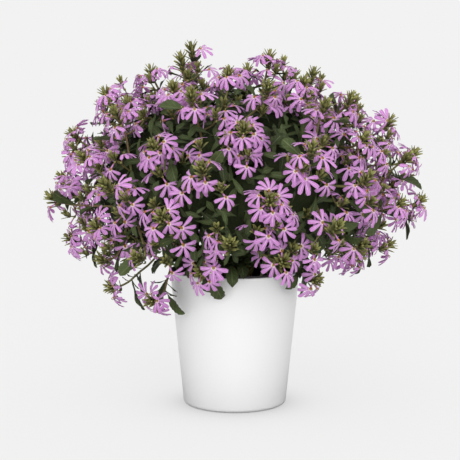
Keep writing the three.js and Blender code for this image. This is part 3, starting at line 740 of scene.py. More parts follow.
class Bundle:
    """Closed surfaces gathered as arrays and written as one mesh.

    Every corner carries blade: its share along, its share across from -1 to 1, and a tone.
    """

    def __init__(self):
        self.points, self.faces, self.blade, self.slots = [], [], [], []
        self.count = 0

    def add(self, points, faces, along, across, tone, slot):
        """Adds K copies of one surface: points (K, V, 3), faces (F, 3), along, across and tone
        (K, V) or less, and one material slot for all faces or one for each.
        """
        copies, corners = points.shape[:2]
        shift = self.count + corners * np.arange(copies)
        self.points.append(points.reshape(-1, 3))
        self.faces.append((faces[None] + shift[:, None, None]).reshape(-1, 3))
        blade = [np.broadcast_to(value, (copies, corners)) for value in (along, across, tone)]
        self.blade.append(np.stack(blade, -1).reshape(-1, 3))
        self.slots.append(np.resize(slot, copies * len(faces)))
        self.count += copies * corners

    def write(self, name, materials, sharp_degrees=SHARP_DEGREES):
        """One mesh object in metres, at the origin, riding on the root body."""
        points = np.concatenate(self.points) * MM
        faces = np.concatenate(self.faces).astype(np.int32)
        mesh = bpy.data.meshes.new(name)
        mesh.vertices.add(len(points))
        mesh.vertices.foreach_set("co", points.astype(np.float32).ravel())
        mesh.loops.add(faces.size)
        mesh.loops.foreach_set("vertex_index", faces.ravel())
        mesh.polygons.add(len(faces))
        mesh.polygons.foreach_set("loop_start", np.arange(0, faces.size, 3, dtype=np.int32))
        for material in materials:
            mesh.materials.append(material)
        mesh.polygons.foreach_set("material_index", np.concatenate(self.slots).astype(np.int32))
        mesh.polygons.foreach_set("use_smooth", np.ones(len(faces), bool))
        mesh.update(calc_edges=True)
        mesh.set_sharp_from_angle(angle=math.radians(sharp_degrees))
        blade = mesh.attributes.new("blade", "FLOAT_VECTOR", "POINT")
        blade.data.foreach_set("vector", np.concatenate(self.blade).astype(np.float32).ravel())
        piece = add_object(name, mesh)
        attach(piece, "root")
        return piece


def blade_grid(rows, columns):
    """A closed blade over its length and width: an upper and a lower sheet that share their rim.

    Gives the corners' shares along and across, their sheet (1 above, -1 below, 0 on the rim),
    and the triangles. The quads are split towards the nearest corner of the blade, because a
    triangle with all its corners on the rim would be the same in both sheets.
    """
    along, across = np.meshgrid(
        np.linspace(0, 1, rows + 1), np.linspace(-1, 1, columns + 1), indexing="ij")
    upper = np.arange(along.size).reshape(along.shape)
    lower = upper.copy()
    inner = (slice(1, -1), slice(1, -1))
    lower[inner] = along.size + np.arange(upper[inner].size).reshape(upper[inner].shape)
    sheet = np.zeros(along.shape)
    sheet[inner] = 1
    row, place = np.indices((rows, columns))
    straight = (row < rows / 2) == (place < columns / 2)
    faces = []
    for ids, below in ((upper, False), (lower, True)):
        a, b, c, d = ids[:-1, :-1], ids[1:, :-1], ids[1:, 1:], ids[:-1, 1:]
        halves = [(a, b, np.where(straight, c, d)), (np.where(straight, a, b), c, d)]
        faces += [np.stack(half[::-1] if below else half, -1).reshape(-1, 3) for half in halves]
    return SimpleNamespace(
        along=np.append(along.ravel(), along[inner].ravel()),
        across=np.append(across.ravel(), across[inner].ravel()),
        sheet=np.append(sheet.ravel(), -np.ones(upper[inner].size)),
        faces=np.concatenate(faces),
    )


def column(values):
    """One value or one for each copy, as a column."""
    return np.atleast_1d(np.asarray(values, float))[:, None]


def blades(grid, root, along, face, length, half_width, outline, bend, lift, thickness):
    """K blades on one grid. The middle line is an arc of the given bend that turns away from the
    face: length times sin(bend t) / bend along, and (1 - cos(bend t)) / bend down. Across it, a
    corner stands half the width times the outline times v to the side, and lift along the arc's
    normal, with half the thickness times (1 - v squared) on either sheet.
    """
    bend = column(bend)
    bend = np.where(np.abs(bend) < LEAST_BEND, LEAST_BEND, bend)
    angle = bend * grid.along
    face = unit(face - (face * along).sum(-1, keepdims=True) * along)
    side = np.cross(face, along)
    run = column(length) * np.sin(angle) / bend
    fall = column(length) * (1 - np.cos(angle)) / bend
    normal = face[:, None] * np.cos(angle)[..., None] + along[:, None] * np.sin(angle)[..., None]
    beside = column(half_width) * outline * grid.across
    stand = lift + grid.sheet * thickness / 2 * (1 - grid.across**2)
    centre = root[:, None] + along[:, None] * run[..., None] - face[:, None] * fall[..., None]
    return centre + side[:, None] * beside[..., None] + normal * stand[..., None]


def rim_wave(grid, tone, phase):
    """The ripple of a blade's rim: the sine of along, tone and across, each times its factor."""
    along, by_tone, across = phase
    return np.sin(grid.along * along + tone * by_tone + grid.across * across)


def tube_grid(rings, sides):
    """Triangles of a tube of rings with a pole at each end."""
    ids = np.arange(rings * sides).reshape(rings, sides)
    around = np.roll(ids, -1, 1)
    a, b, c, d = ids[:-1], around[:-1], around[1:], ids[1:]
    faces = [np.stack(corner, -1).reshape(-1, 3) for corner in [(a, b, c), (a, c, d)]]
    first, last = rings * sides, rings * sides + 1
    faces.append(np.stack([around[0], ids[0], np.full(sides, first)], -1))
    faces.append(np.stack([ids[-1], around[-1], np.full(sides, last)], -1))
    return np.concatenate(faces)


def tubes(paths, radii, sides):
    """K tubes: at each of P path points a ring of the given radius, square to the path.

    The rings' frames come from one reference per tube, the axis that its path leans on least.
    """
    heading = unit(np.gradient(paths, axis=1))
    lean = np.abs(heading).max(1)
    reference = np.eye(3)[lean.argmin(-1)][:, None]
    first = unit(np.cross(reference, heading))
    second = np.cross(heading, first)
    ring = turned(first[:, :, None], second[:, :, None], whole_turn(sides)[:, None])
    points = paths[:, :, None] + ring * radii[:, :, None, None]
    copies = len(paths)
    ends = paths[:, [0, -1]]
    return np.concatenate([points.reshape(copies, -1, 3), ends], 1)


def tube_shares(rings, sides):
    """Shares along and across for the corners of a tube and its two poles."""
    along = np.repeat(np.linspace(0, 1, rings), sides)
    across = np.tile(np.linspace(-1, 1, sides), rings)
    return np.append(along, [0, 1]), np.append(across, [0, 0])


def add_tubes(bundle, paths, radii, sides, tone, slot):
    """Adds a tube along every path. The radii along it are the same for all, or one row each."""
    rings = paths.shape[1]
    along, across = tube_shares(rings, sides)
    points = tubes(paths, np.broadcast_to(radii, paths.shape[:2]), sides)
    bundle.add(points, tube_grid(rings, sides), along, across, tone, slot)


def smooth_path(points, count):
    """A Catmull-Rom curve through the points, sampled evenly over its pieces."""
    points = np.array(points)
    padded = np.vstack([2 * points[0] - points[1], points, 2 * points[-1] - points[-2]])
    at = np.linspace(0, len(points) - 1, count)
    piece = np.minimum(at.astype(int), len(points) - 2)
    t = (at - piece)[:, None]
    a, b, c, d = (padded[piece + offset] for offset in range(4))
    return b + t / 2 * (c - a + t * (2 * a - 5 * b + 4 * c - d + t * (3 * (b - c) + d - a)))


def rounded_path(points, count):
    """A branch with its last corner rounded: a quadratic curve from shortly before the corner up
    to the tip.
    """
    corner, tip = points[-2], points[-1]
    start = points[-3] + (corner - points[-3]) * BEND_START
    half = count // 2
    if len(points) > 3:
        before = smooth_path([*points[:-2], start], half + 1)[:-1]
    else:
        before = points[0] + (start - points[0]) * np.linspace(0, 1, half, endpoint=False)[:, None]
    return np.vstack([before, bent_line(start, corner, tip, evenly(count - half))])


def ripple(points, pitch, seed):
    """Smooth noise about zero: products of three sine waves in turned directions, summed with
    rising frequency.
    """
    rng = np.random.default_rng(seed)
    total = np.zeros(points.shape[:-1])
    for octave in range(RIPPLE_OCTAVES):
        way = unit(rng.normal(size=(3, 3)))
        phase = rng.uniform(0, math.tau, 3)
        waves = np.sin(points @ way.T * (math.tau / pitch * RIPPLE_FINER**octave) + phase)
        total += waves.prod(-1) * RIPPLE_GAIN / RIPPLE_WEAKER**octave
    return total


# Materials


def feed(tree, node, values):
    """Feeds a node's inputs, by name or place: a socket is linked, and a plain value is set."""
    for name, value in values.items():
        if isinstance(value, bpy.types.NodeSocket):
            tree.links.new(value, node.inputs[name])
        else:
            node.inputs[name].default_value = value


def make_node(tree, kind, values=None, **settings):
    """A node of a kind with its settings, and then with its inputs fed."""
    node = tree.nodes.new(f"ShaderNode{kind}")
    for name, value in settings.items():
        setattr(node, name, value)
    feed(tree, node, values or {})
    return node


def maths(tree, operation, first, second=0.0):
    """One sum on two sockets or values."""
    return make_node(tree, "Math", {0: first, 1: second}, operation=operation).outputs[0]


def times(tree, first, second):
    """The product of two sockets or values."""
    return maths(tree, "MULTIPLY", first, second)


def blend_colour(tree, share, first, second):
    """From the first colour to the second by a share."""
    values = {"Factor": share, 6: first, 7: second}
    return make_node(tree, "Mix", values, data_type="RGBA").outputs[2]


def rise_between(tree, value, low, high):
    """0 below low and 1 above high, smooth between them."""
    values = {"Value": value, "From Min": low, "From Max": high}
    return make_node(tree, "MapRange", values, interpolation_type="SMOOTHSTEP").outputs["Result"]


def fall_between(tree, value, low, high):
    """1 below low and 0 above high, smooth between them."""
    return maths(tree, "SUBTRACT", 1.0, rise_between(tree, value, low, high))


def own_space(tree):
    """The place in the piece's own space."""
    return make_node(tree, "TexCoord").outputs["Object"]


def noise(tree, scale, detail=3.0):
    """Noise in the piece's own space."""
    values = {"Vector": own_space(tree), "Scale": scale, "Detail": detail}
    return make_node(tree, "TexNoise", values).outputs["Fac"]


def seen_by_camera(tree):
    """1 for what the camera sees directly, and 0 for the light that is thrown."""
    return make_node(tree, "LightPath").outputs["Is Camera Ray"]


def blade_shares(tree):
    """The blade attribute's shares along and across, and its tone."""
    blade = make_node(tree, "Attribute", attribute_name="blade").outputs["Vector"]
    return list(make_node(tree, "SeparateXYZ", {0: blade}).outputs)


def mottle_group():
    """Uneven tone: noise round the middle, as a factor on the colour."""
    group = bpy.data.node_groups.new("Mottle", "ShaderNodeTree")
    for way, name, kind in (("INPUT", "Colour", "Color"), ("INPUT", "Scale", "Float"),
                            ("INPUT", "Depth", "Float"), ("OUTPUT", "Colour", "Color")):
        group.interface.new_socket(name=name, in_out=way, socket_type=f"NodeSocket{kind}")
    inside = group.nodes.new("NodeGroupInput").outputs
    texture = make_node(group, "TexNoise", {"Vector": own_space(group), "Scale": inside["Scale"]})
    offset = maths(group, "SUBTRACT", texture.outputs["Fac"], 0.5)
    factor = maths(group, "ADD", times(group, offset, inside["Depth"]), 1.0)
    values = {0: inside["Colour"], "Scale": factor}
    scaled = make_node(group, "VectorMath", values, operation="SCALE").outputs[0]
    feed(group, group.nodes.new("NodeGroupOutput"), {"Colour": scaled})
    return group


def colour_surface(tree, shader, colour, scale, depth):
    """Gives the shader a colour, with the mottle's uneven tone."""
    group = bpy.data.node_groups.get("Mottle") or mottle_group()
    values = {"Colour": colour, "Scale": scale, "Depth": depth}
    mottled = make_node(tree, "Group", values, node_tree=group).outputs[0]
    feed(tree, shader, {"Base Color": mottled})


def new_material(name, roughness, specular):
    """A material, its nodes and its shader."""
    material = bpy.data.materials.new(name)
    material.use_nodes = True
    tree = material.node_tree
    shader = tree.nodes["Principled BSDF"]
    feed(tree, shader, {"Roughness": roughness, "Specular IOR Level": specular})
    return material, tree, shader


def raise_surface(tree, shader, height, strength, distance):
    """Gives the shader a relief of the given height."""
    values = {"Height": height, "Strength": strength, "Distance": distance}
    feed(tree, shader, {"Normal": make_node(tree, "Bump", values).outputs["Normal"]})


def shaded(colour, factor=1.0):
    """The colour times a factor, with full alpha."""
    return (*[part * factor for part in colour[:3]], 1)


def leaf_material(colour, rib_colour):
    """Green that varies from leaf to leaf, with a paler midrib and side veins."""
    material, tree, shader = new_material("Leaf", 0.6, 0.22)
    along, across, tone = blade_shares(tree)
    off_rib = maths(tree, "ABSOLUTE", across)
    rib = fall_between(tree, off_rib, 0.03, 0.13)
    slant = maths(tree, "SUBTRACT", along, times(tree, off_rib, 0.22))
    wave = maths(tree, "SINE", times(tree, slant, 44.0))
    veins = times(tree, rise_between(tree, wave, 0.82, 1.0), 0.5)
    pattern = maths(tree, "MAXIMUM", rib, veins)
    green = blend_colour(tree, tone, shaded(colour, 0.62), shaded(colour, 1.55))
    veined = blend_colour(tree, times(tree, pattern, 0.55), green, shaded(rib_colour))
    colour_surface(tree, shader, veined, 160.0, 0.5)
    raise_surface(tree, shader, pattern, 0.35, 0.0006)
    return material


def core_material(colour):
    """The painted shade between the inner leaves: dark green with darker patches of painted shade.
    """
    material, tree, shader = new_material("Painted_Shade_Behind_Leaves", 0.85, 0.15)
    patches = noise(tree, 70.0, 5.0)
    # Painted shade: darkened copies of the leaf green, with darker patches from the noise.
    green = blend_colour(tree, patches, shaded(colour, 0.1), shaded(colour, 0.75))
    feed(tree, shader, {"Base Color": green})
    raise_surface(tree, shader, patches, 0.9, 0.006)
    return material


def stem_material(colour, red_colour):
    """Olive that reddens from place to place, with fine lines of fibre."""
    material, tree, shader = new_material("Stem", 0.6, 0.3)
    patches = rise_between(tree, noise(tree, 22.0), 0.4, 0.62)
    mixed = blend_colour(tree, patches, shaded(colour), shaded(red_colour))
    colour_surface(tree, shader, mixed, 420.0, 0.5)
    raise_surface(tree, shader, noise(tree, 900.0), 0.3, 0.0004)
    return material


def bract_material(colour, tip_colour):
    """Darker olive at the root, as painted shade where the bracts crowd, and yellow green towards
    the point, with a paler middle.
    """
    material, tree, shader = new_material("Bract", 0.55, 0.3)
    along, across, tone = blade_shares(tree)
    middle = fall_between(tree, maths(tree, "ABSOLUTE", across), 0.0, 0.6)
    green = blend_colour(tree, tone, shaded(colour, 0.45), shaded(colour, 1.1))
    bright = blend_colour(tree, tone, shaded(tip_colour, 0.6), shaded(tip_colour, 1.25))
    # Painted shade: the colour darkens towards the root, and also at the foot of the buds, cups and
    # styles that share this material.
    ended = blend_colour(tree, rise_between(tree, along, 0.2, 0.95), green, bright)
    paler = blend_colour(tree, times(tree, middle, 0.3), ended, shaded(tip_colour, 1.3))
    colour_surface(tree, shader, paler, 500.0, 0.4)
    return material


def petal_material(colour, pale_colour, line_colour, throat_colour, spot_colour):
    """Mauve with two darker veins beside a pale channel, a cream throat and a brown spot."""
    material, tree, shader = new_material("Petal", 0.5, 0.25)
    along, across, tone = blade_shares(tree)
    off_middle = maths(tree, "ABSOLUTE", across)
    mauve = blend_colour(tree, tone, shaded(colour, 0.86), shaded(colour, 1.1))
    channel = fall_between(tree, off_middle, 0.05, 0.4)
    fading = fall_between(tree, along, 0.3, 0.95)
    pale_share = times(tree, times(tree, channel, fading), 0.5)
    paled = blend_colour(tree, pale_share, mauve, shaded(pale_colour))
    beside = maths(tree, "ABSOLUTE", maths(tree, "SUBTRACT", off_middle, 0.42))
    veins = fall_between(tree, beside, 0.02, 0.26)
    lined = blend_colour(tree, times(tree, veins, 0.5), paled, shaded(line_colour))
    throat = blend_colour(tree, fall_between(tree, along, 0.09, 0.21), lined, shaded(throat_colour))
    spotted = blend_colour(tree, fall_between(tree, along, 0.05, 0.1), throat, shaded(spot_colour))
    colour_surface(tree, shader, spotted, 350.0, 0.22)
    feed(tree, shader, {
        "Sheen Weight": 0.15, "Sheen Roughness": 0.4, "Subsurface Weight": 0.3,
        "Subsurface Radius": (1.0, 0.6, 1.0), "Subsurface Scale": 0.003,
    })
    raise_surface(tree, shader, veins, 0.2, 0.0003)
    return material


def tube_material(base_colour, middle_colour, mouth_colour):
    """Green brown at the foot, mauve along the tube and orange brown at the mouth."""
    material, tree, shader = new_material("Bloom_Tube", 0.55, 0.25)
    along, _, _ = blade_shares(tree)
    half = rise_between(tree, along, 0.3, 0.7)
    mixed = blend_colour(tree, half, shaded(base_colour), shaded(middle_colour))
    ended = blend_colour(tree, rise_between(tree, along, 0.78, 0.95), mixed, shaded(mouth_colour))
    colour_surface(tree, shader, ended, 400.0, 0.4)
    return material


def plastic_material(name, colour, roughness):
    """Moulded plastic: a faint orange-peel skin, uneven gloss and slight clouding."""
    material, tree, shader = new_material(name, roughness, 0.4)
    colour_surface(tree, shader, shaded(colour), 14.0, 0.035)
    cloud = rise_between(tree, noise(tree, 35.0, 4.0), 0.2, 0.8)
    uneven = maths(tree, "ADD", times(tree, cloud, 0.12), roughness - 0.06)
    feed(tree, shader, {"Roughness": uneven})
    raise_surface(tree, shader, noise(tree, 700.0, 2.0), 0.12, 0.0002)
    return material


def peat_material(colour):
    """Near-black fibre with brown crumbs."""
    material, tree, shader = new_material("Peat", 0.95, 0.15)
    crumbs = noise(tree, 260.0, 6.0)
    light = rise_between(tree, crumbs, 0.45, 0.7)
    brown = blend_colour(tree, light, shaded(colour, 0.5), shaded(colour, 2.4))
    feed(tree, shader, {"Base Color": brown})
    raise_surface(tree, shader, crumbs, 0.9, 0.002)
    return material


# Pot and peat


def wall_radius(height):
    """The pot's outer radius, which grows evenly from its base to its rim."""
    return POT_BASE_RADIUS + (POT_RIM_RADIUS - POT_BASE_RADIUS) * height / POT_HEIGHT


POT_FOOT_RADIUS = wall_radius(POT_FOOT_ROUND) - POT_FOOT_ROUND


def arc(centre, radius, start, end, steps):
    """Points of a circle from one angle to another, in degrees."""
    angle = np.radians(np.linspace(start, end, steps))
    return np.array(centre) + radius * on_circle(angle)


def lathed(profile, sides):
    """Turns a profile of radii and heights about the axis, with a pole at each end on the axis."""
    inner = profile[1:-1]
    flat = inner[:, None, :1] * on_circle(whole_turn(sides))
    height = np.broadcast_to(inner[:, None, 1:], (*flat.shape[:2], 1))
    points = np.concatenate([flat, height], -1).reshape(-1, 3)
    poles = [[0, 0, profile[0, 1]], [0, 0, profile[-1, 1]]]
    return np.vstack([points, poles])[None]


def pot_profile():
    """Half section of the pot, from the middle of its underside round to the middle of its floor:
    the rounded foot, the sloping wall, the bead, the thinner dark edge and the inside.
    """
    white_top = POT_HEIGHT - POT_DARK_EDGE
    bead_height = white_top - POT_BEAD_HEIGHT / 2
    bead = (wall_radius(bead_height) - (POT_BEAD_ROUND - POT_BEAD), bead_height)
    wall_top = white_top - POT_BEAD_HEIGHT - POT_BEAD_GAP
    heights = np.linspace(POT_WALL_FROM, wall_top, POT_WALL_RINGS)
    edge = POT_HEIGHT - POT_EDGE_ROUND
    rim = wall_radius(POT_HEIGHT)
    return np.vstack([
        [[0, 0], [DRAIN_CIRCLE_RADIUS, 0], [POT_FOOT_RADIUS - POT_UNDERSIDE_MARGIN, 0]],
        arc((POT_FOOT_RADIUS, POT_FOOT_ROUND), POT_FOOT_ROUND, *POT_FOOT_ARC),
        np.column_stack([wall_radius(heights), heights]),
        arc(bead, POT_BEAD_ROUND, *POT_BEAD_ARC),
        [[wall_radius(white_top) - POT_WALL / 3, white_top]],
        [[rim - POT_WALL / 3 - POT_LIP, edge], [rim - POT_WALL / 2 - POT_LIP, POT_HEIGHT]],
        [[rim - POT_WALL + POT_LIP / 2, POT_HEIGHT], [rim - POT_WALL, edge]],
        [[wall_radius(POT_INNER_FOOT) - POT_WALL, POT_INNER_FOOT]],
        [[POT_FOOT_RADIUS, POT_FLOOR], [0, POT_FLOOR]],
    ])


def bore_drain_holes(piece):
    """Cuts the drain holes through the floor, applies the cut and merges the points it doubles."""
    cutters = Bundle()
    turn = np.arange(DRAIN_HOLES) / DRAIN_HOLES * math.tau
    middle = DRAIN_CIRCLE_RADIUS * np.column_stack([on_circle(turn), 0 * turn])
    path = middle[:, None] + np.array([-2 * POT_FLOOR, 0, 2 * POT_FLOOR])[:, None] * UP
    radii = np.full((DRAIN_HOLES, 3), DRAIN_HOLE_RADIUS)
    cutters.add(tubes(path, radii, DRAIN_HOLE_SIDES), tube_grid(3, DRAIN_HOLE_SIDES), 0, 0, 0, 1)
    cutter = cutters.write("drain_cutters", list(piece.data.materials), DRAIN_SHARP_DEGREES)
    cut = piece.modifiers.new("Drain holes", "BOOLEAN")
    cut.operation = "DIFFERENCE"
    cut.solver = "EXACT"
    cut.object = cutter
    bpy.context.view_layer.update()
    evaluated = piece.evaluated_get(bpy.context.evaluated_depsgraph_get())
    finished = bpy.data.meshes.new_from_object(evaluated)
    piece.modifiers.remove(cut)
    shape = bmesh.new()
    shape.from_mesh(finished)
    bmesh.ops.remove_doubles(shape, verts=shape.verts, dist=MERGE_WITHIN * MM)
    shape.to_mesh(finished)
    shape.free()
    piece.data = finished
    bpy.data.objects.remove(cutter)


def make_pot(settings):
    """The lathed pot: white outside, and dark inside and above the bead."""
    profile = pot_profile()
    faces = tube_grid(len(profile) - 2, POT_SIDES)
    points = lathed(profile, POT_SIDES)
    corners = points[0][faces]
    radius = np.hypot(corners[..., 0], corners[..., 1]).mean(1)
    height = corners[..., 2].mean(1)
    within = radius < wall_radius(height) - POT_WALL * INSIDE_SHARE
    inside = (height > POT_FLOOR - TOLERANCE) & within
    dark = inside | (height > POT_HEIGHT - POT_DARK_EDGE)
    order = np.argsort(dark, kind="stable")
    bundle = Bundle()
    bundle.add(points, faces[order], 0, 0, 0, dark[order])
    materials = [
        plastic_material("Pot_White", settings.white, settings.roughness),
        plastic_material("Pot_Dark", settings.dark, settings.roughness + 0.1),
    ]
    piece = bundle.write("pot_shell", materials, POT_SHARP_DEGREES)
    bore_drain_holes(piece)
    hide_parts("pot")


def make_peat(settings):
    """A lathed block whose upper side is raised by noise: level at the wall, uneven inside."""
    side = POT_WALL + SEAT_GAP
    edge = wall_radius(PEAT_TOP) - side
    shares = np.linspace(1, 0, PEAT_RINGS)[:-1]
    profile = np.vstack([
        [[0, POT_FLOOR + SEAT_GAP]],
        [[POT_FOOT_RADIUS - PEAT_UNDERSIDE_MARGIN, POT_FLOOR + SEAT_GAP]],
        [[wall_radius(POT_INNER_FOOT) - side, POT_INNER_FOOT + SEAT_GAP]],
        np.column_stack([edge * shares, np.full(len(shares), PEAT_TOP)]),
        [[0, PEAT_TOP]],
    ])
    points = lathed(profile, PEAT_SIDES)
    radius = np.hypot(points[..., 0], points[..., 1])
    inwards = np.clip((edge - radius) / PEAT_LEVEL_EDGE, 0, 1)
    top = points[..., 2] > PEAT_TOP - TOLERANCE
    waves = sum(share * ripple(points, pitch, seed) for pitch, share, seed in PEAT_WAVES)
    points[..., 2] += np.where(top, settings.bump / MM * waves * inwards, 0)
    bundle = Bundle()
    bundle.add(points, tube_grid(len(profile) - 2, PEAT_SIDES), 0, 0, 0, 0)
    piece = bundle.write("peat_block", [peat_material(settings.colour)])
    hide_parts("peat")


# Foliage


LEAF_GRID = blade_grid(24, 6)
SMALL_LEAF_GRID = blade_grid(5, 4)
SHOOT_LEAF_GRID = blade_grid(7, 4)
BRACT_GRID = blade_grid(4, 2)
PETAL_GRID = blade_grid(6, 3)


def leaf_outline(along, teeth):
    """Obovate: a narrow stalk that widens past the middle to a blunt point, with the teeth as a
    saw that deepens towards the rim.
    """
    first, last = TEETH_SPAN
    saw = (along * teeth) % 1
    depth = TOOTH_DEPTH * saw * ramp(along, first) * (along < last)
    return np.interp(along, *LEAF_OUTLINE) * (1 - depth)


def add_leaves(bundle, grid, leaves, teeth):
    """Leaves that bend back along an arc, fold a little at the rib, more with a lighter tone, and
    ripple at the rim. Those that would touch the pot are left out.
    """
    root, along, face = leaves["root"], leaves["along"], leaves["face"]
    length, tone = leaves["length"], column(leaves["tone"])
    half = length * LEAF_WIDTH_SHARE / 2 * leaves["width"]
    fold = column(half) * (LEAF_FOLD[0] + LEAF_FOLD[1] * tone) * np.abs(grid.across)
    waves = rim_wave(grid, tone, LEAF_PHASE) * grid.across**2 * column(length) * LEAF_WAVE
    lift = fold * leaf_outline(grid.along, 0) + waves
    points = blades(grid, root, along, face, length, half, leaf_outline(grid.along, teeth),
                    leaves["bend"], lift, BLADE_THICKNESS)
    near = np.hypot(points[..., 0], points[..., 1]) < POT_RIM_RADIUS + POT_CLEARANCE
    kept = ~(near & (points[..., 2] < POT_HEIGHT + POT_CLEARANCE)).any(-1)
    bundle.add(points[kept], grid.faces, grid.along, grid.across, tone[kept], LEAF_SLOT)


def core_border(stem, discs, angle):
    """Reach of a stem's cell from its disc point at each angle: the nearest of the borders with
    the other stems, and the circle that bounds them all.
    """
    way = on_circle(angle)
    away = np.delete(discs, stem.index, 0) - stem.disc
    span = norm(away)
    facing = way @ (away / span[:, None]).T
    distance = (span / 2 - CELL_GAP) / np.maximum(facing, LEAST_FACING)
    reach = np.where(facing > LEAST_FACING, distance, np.inf)
    middle = way @ stem.disc
    circle = -middle + np.sqrt(middle**2 + CORE_REACH**2 - stem.disc @ stem.disc)
    return np.minimum(reach.min(1), circle)


def add_core(bundle, stem, discs):
    """The painted shade behind the leaves: a dark domed cell under the mound's surface, raised by
    noise.
    """
    angle = whole_turn(CORE_SIDES)
    reach = CORE_SHARES[1:-1, None] * core_border(stem, discs, angle)
    disc = stem.disc + reach[..., None] * on_circle(angle)
    shell = mound_point(disc, CORE_INSETS[1:-1, None])
    ends = [mound_point(stem.disc, inset) for inset in (CORE_INSETS[0], CORE_INSETS[-1])]
    points = np.vstack([shell.reshape(-1, 3), ends])
    waves = ripple(points, CORE_WAVE_PITCH, SEED_CORE + stem.index) * CORE_WAVE
    points += unit(points - MOUND_CENTRE) * waves[:, None]
    bundle.add(points[None], tube_grid(len(CORE_SHARES) - 2, CORE_SIDES), 0, 0, 0, CORE_SLOT)


LEAF_SLOT, CORE_SLOT, STEM_SLOT, BRACT_SLOT = range(4)


def add_stems(bundle, paths, radii, sides):
    """Tubes that taper from the first radius to the second."""
    radii = np.linspace(*radii, len(paths[0]))
    add_tubes(bundle, np.array(paths), radii, sides, STEM_TONE, STEM_SLOT)


def frames(ends):
    """Points, axes turned a little upwards, and two vectors square to the axes, as arrays, for a
    list of tips.
    """
    point = np.array([end.point for end in ends])
    axis = unit(np.array([end.axis for end in ends]) + TUFT_LIFT * UP)
    side, other = square_to(axis)
    return point[:, None], axis[:, None], side[:, None], other[:, None]


def add_tufts(bundle, ends, whorls, rng):
    """Whorls of narrow pointed bracts at every tip. A bract runs from its root to its tip, each
    given by a radius and a height, and bends a little back towards the axis.
    """
    table = np.array([
        (turn + index / count * math.tau, *shape)
        for count, turn, *shape in whorls for index in range(count)])
    turn, root_height, root_radius, tip_radius, tip_height, half_width = table.T[..., None]
    point, axis, side, other = frames(ends)
    shape = (len(ends), len(table), 1)
    out = turned(side, other, turn + rng.uniform(-BRACT_SWAY, BRACT_SWAY, shape))
    root = point + axis * root_height + out * root_radius
    end = point + axis * tip_height + out * tip_radius
    run = ((end - root) * rng.uniform(*BRACT_LENGTHS, shape)).reshape(-1, 3)
    length = norm(run)
    along = run / length[:, None]
    face = -np.cross(along, np.cross(out.reshape(-1, 3), along))
    width = (half_width * rng.uniform(*BRACT_WIDTHS, shape)).ravel()
    grid = BRACT_GRID
    outline = np.interp(grid.along, *BRACT_OUTLINE)
    lift = BRACT_FOLD * np.abs(grid.across) * column(width)
    points = blades(grid, root.reshape(-1, 3), along, face, length, width, outline, BRACT_BEND,
                    lift, BLADE_THICKNESS)
    tone = column(rng.uniform(0, 1, len(length)))
    bundle.add(points, grid.faces, grid.along, grid.across, tone, BRACT_SLOT)


def add_buds(bundle, ends, rng):
    """Closed buds: short spindles that lean out between the bracts."""
    point, axis, side, other = frames(ends)
    shape = (len(ends), BUDS, 1)
    angle = np.arange(BUDS)[:, None] * GOLDEN_ANGLE + rng.uniform(*BUD_TURN, shape)
    out = turned(side, other, angle)
    start = point + axis * rng.uniform(*BUD_HEIGHT, shape) + out * BUD_OFFSET
    run = unit(axis + out * rng.uniform(*BUD_LEAN, shape)) * rng.uniform(*BUD_LENGTH, shape)
    paths = start.reshape(-1, 1, 3) + evenly(len(BUD_RADII)) * run.reshape(-1, 1, 3)
    radii = BUD_RADII * rng.uniform(*BUD_SWELL, (len(paths), 1))
    tone = column(rng.uniform(*BUD_TONE, len(paths)))
    add_tubes(bundle, paths, radii, BUD_SIDES, tone, BRACT_SLOT)


def leaf_rows(count):
    """Empty rows for a number of leaves: three places or ways, and four numbers each."""
    rows = {name: np.zeros((count, 3)) for name in ("root", "along", "face")}
    return {**rows, **{name: np.ones(count) for name in ("length", "width", "tone", "bend")}}


def main_leaves(stem, rng):
    """The leaves that the model holds, at the same places."""
    rows = leaf_rows(len(stem.leaves))
    for index, leaf in enumerate(stem.leaves):
        rows["root"][index] = leaf.root
        rows["along"][index] = leaf.along
        hangs = leaf.along[2] < HANGS_BELOW
        rows["face"][index] = leaf.root * [1, 1, 0] if hangs else leaf.face
        rows["length"][index] = leaf.length
    rows["tone"] = rng.uniform(*LEAF_TONE, len(stem.leaves))
    rows["bend"] *= LEAF_BEND
    return rows


def inner_leaves(count, obstacles):
    """Leaves that stand on the cores. Each tries a few turns about the mound's outward direction,
    and the first that stays out of the heads is kept. They hang more towards the mound's skirt.
    """
    kind, head = INNER_LEAF, INNER_HEAD
    rng = np.random.default_rng(SEED_INNER)
    disc = disc_point(np.arange(count), count, INNER_TURN, CORE_REACH)
    reach = norm(disc)
    root = mound_point(disc, rng.uniform(*kind.depth, count))
    outward = unit(root - MOUND_CENTRE)
    length = rng.uniform(*kind.length, count)
    rise = rng.uniform(*kind.rise, count)
    turn = rng.uniform(0, math.tau, count)
    hang = INNER_HANG[0] + INNER_HANG[1] * ramp(reach, INNER_SKIRT)
    chosen = np.zeros((count, 3))
    found = np.zeros(count, bool)
    for attempt in range(kind.tries):
        level = sideways(outward, turn + attempt * GOLDEN_ANGLE)
        along = unit(level + rise[:, None] * outward - hang[:, None] * UP)
        distances = length[:, None] * np.array(head.checked)
        ends = root[:, None] + along[:, None] * distances[..., None]
        height, across = obstacles.over_heads(ends.reshape(-1, 3))
        level_hit = (height > -head.below) & (height < head.above)
        hit = level_hit & (across < obstacles.head_radii * head.share)
        clear = ~hit.any(-1).reshape(count, -1).any(-1)
        fresh = clear & ~found
        chosen[fresh] = along[fresh]
        found |= clear
    rows = {
        "root": root, "along": chosen, "face": outward, "length": length,
        "width": rng.uniform(*kind.width, count), "tone": rng.uniform(*kind.tone, count),
        "bend": rng.uniform(*kind.bend, count),
    }
    owner = norm(disc[:, None] - obstacles.discs).argmin(-1)
    return {name: value[found] for name, value in rows.items()}, owner[found]


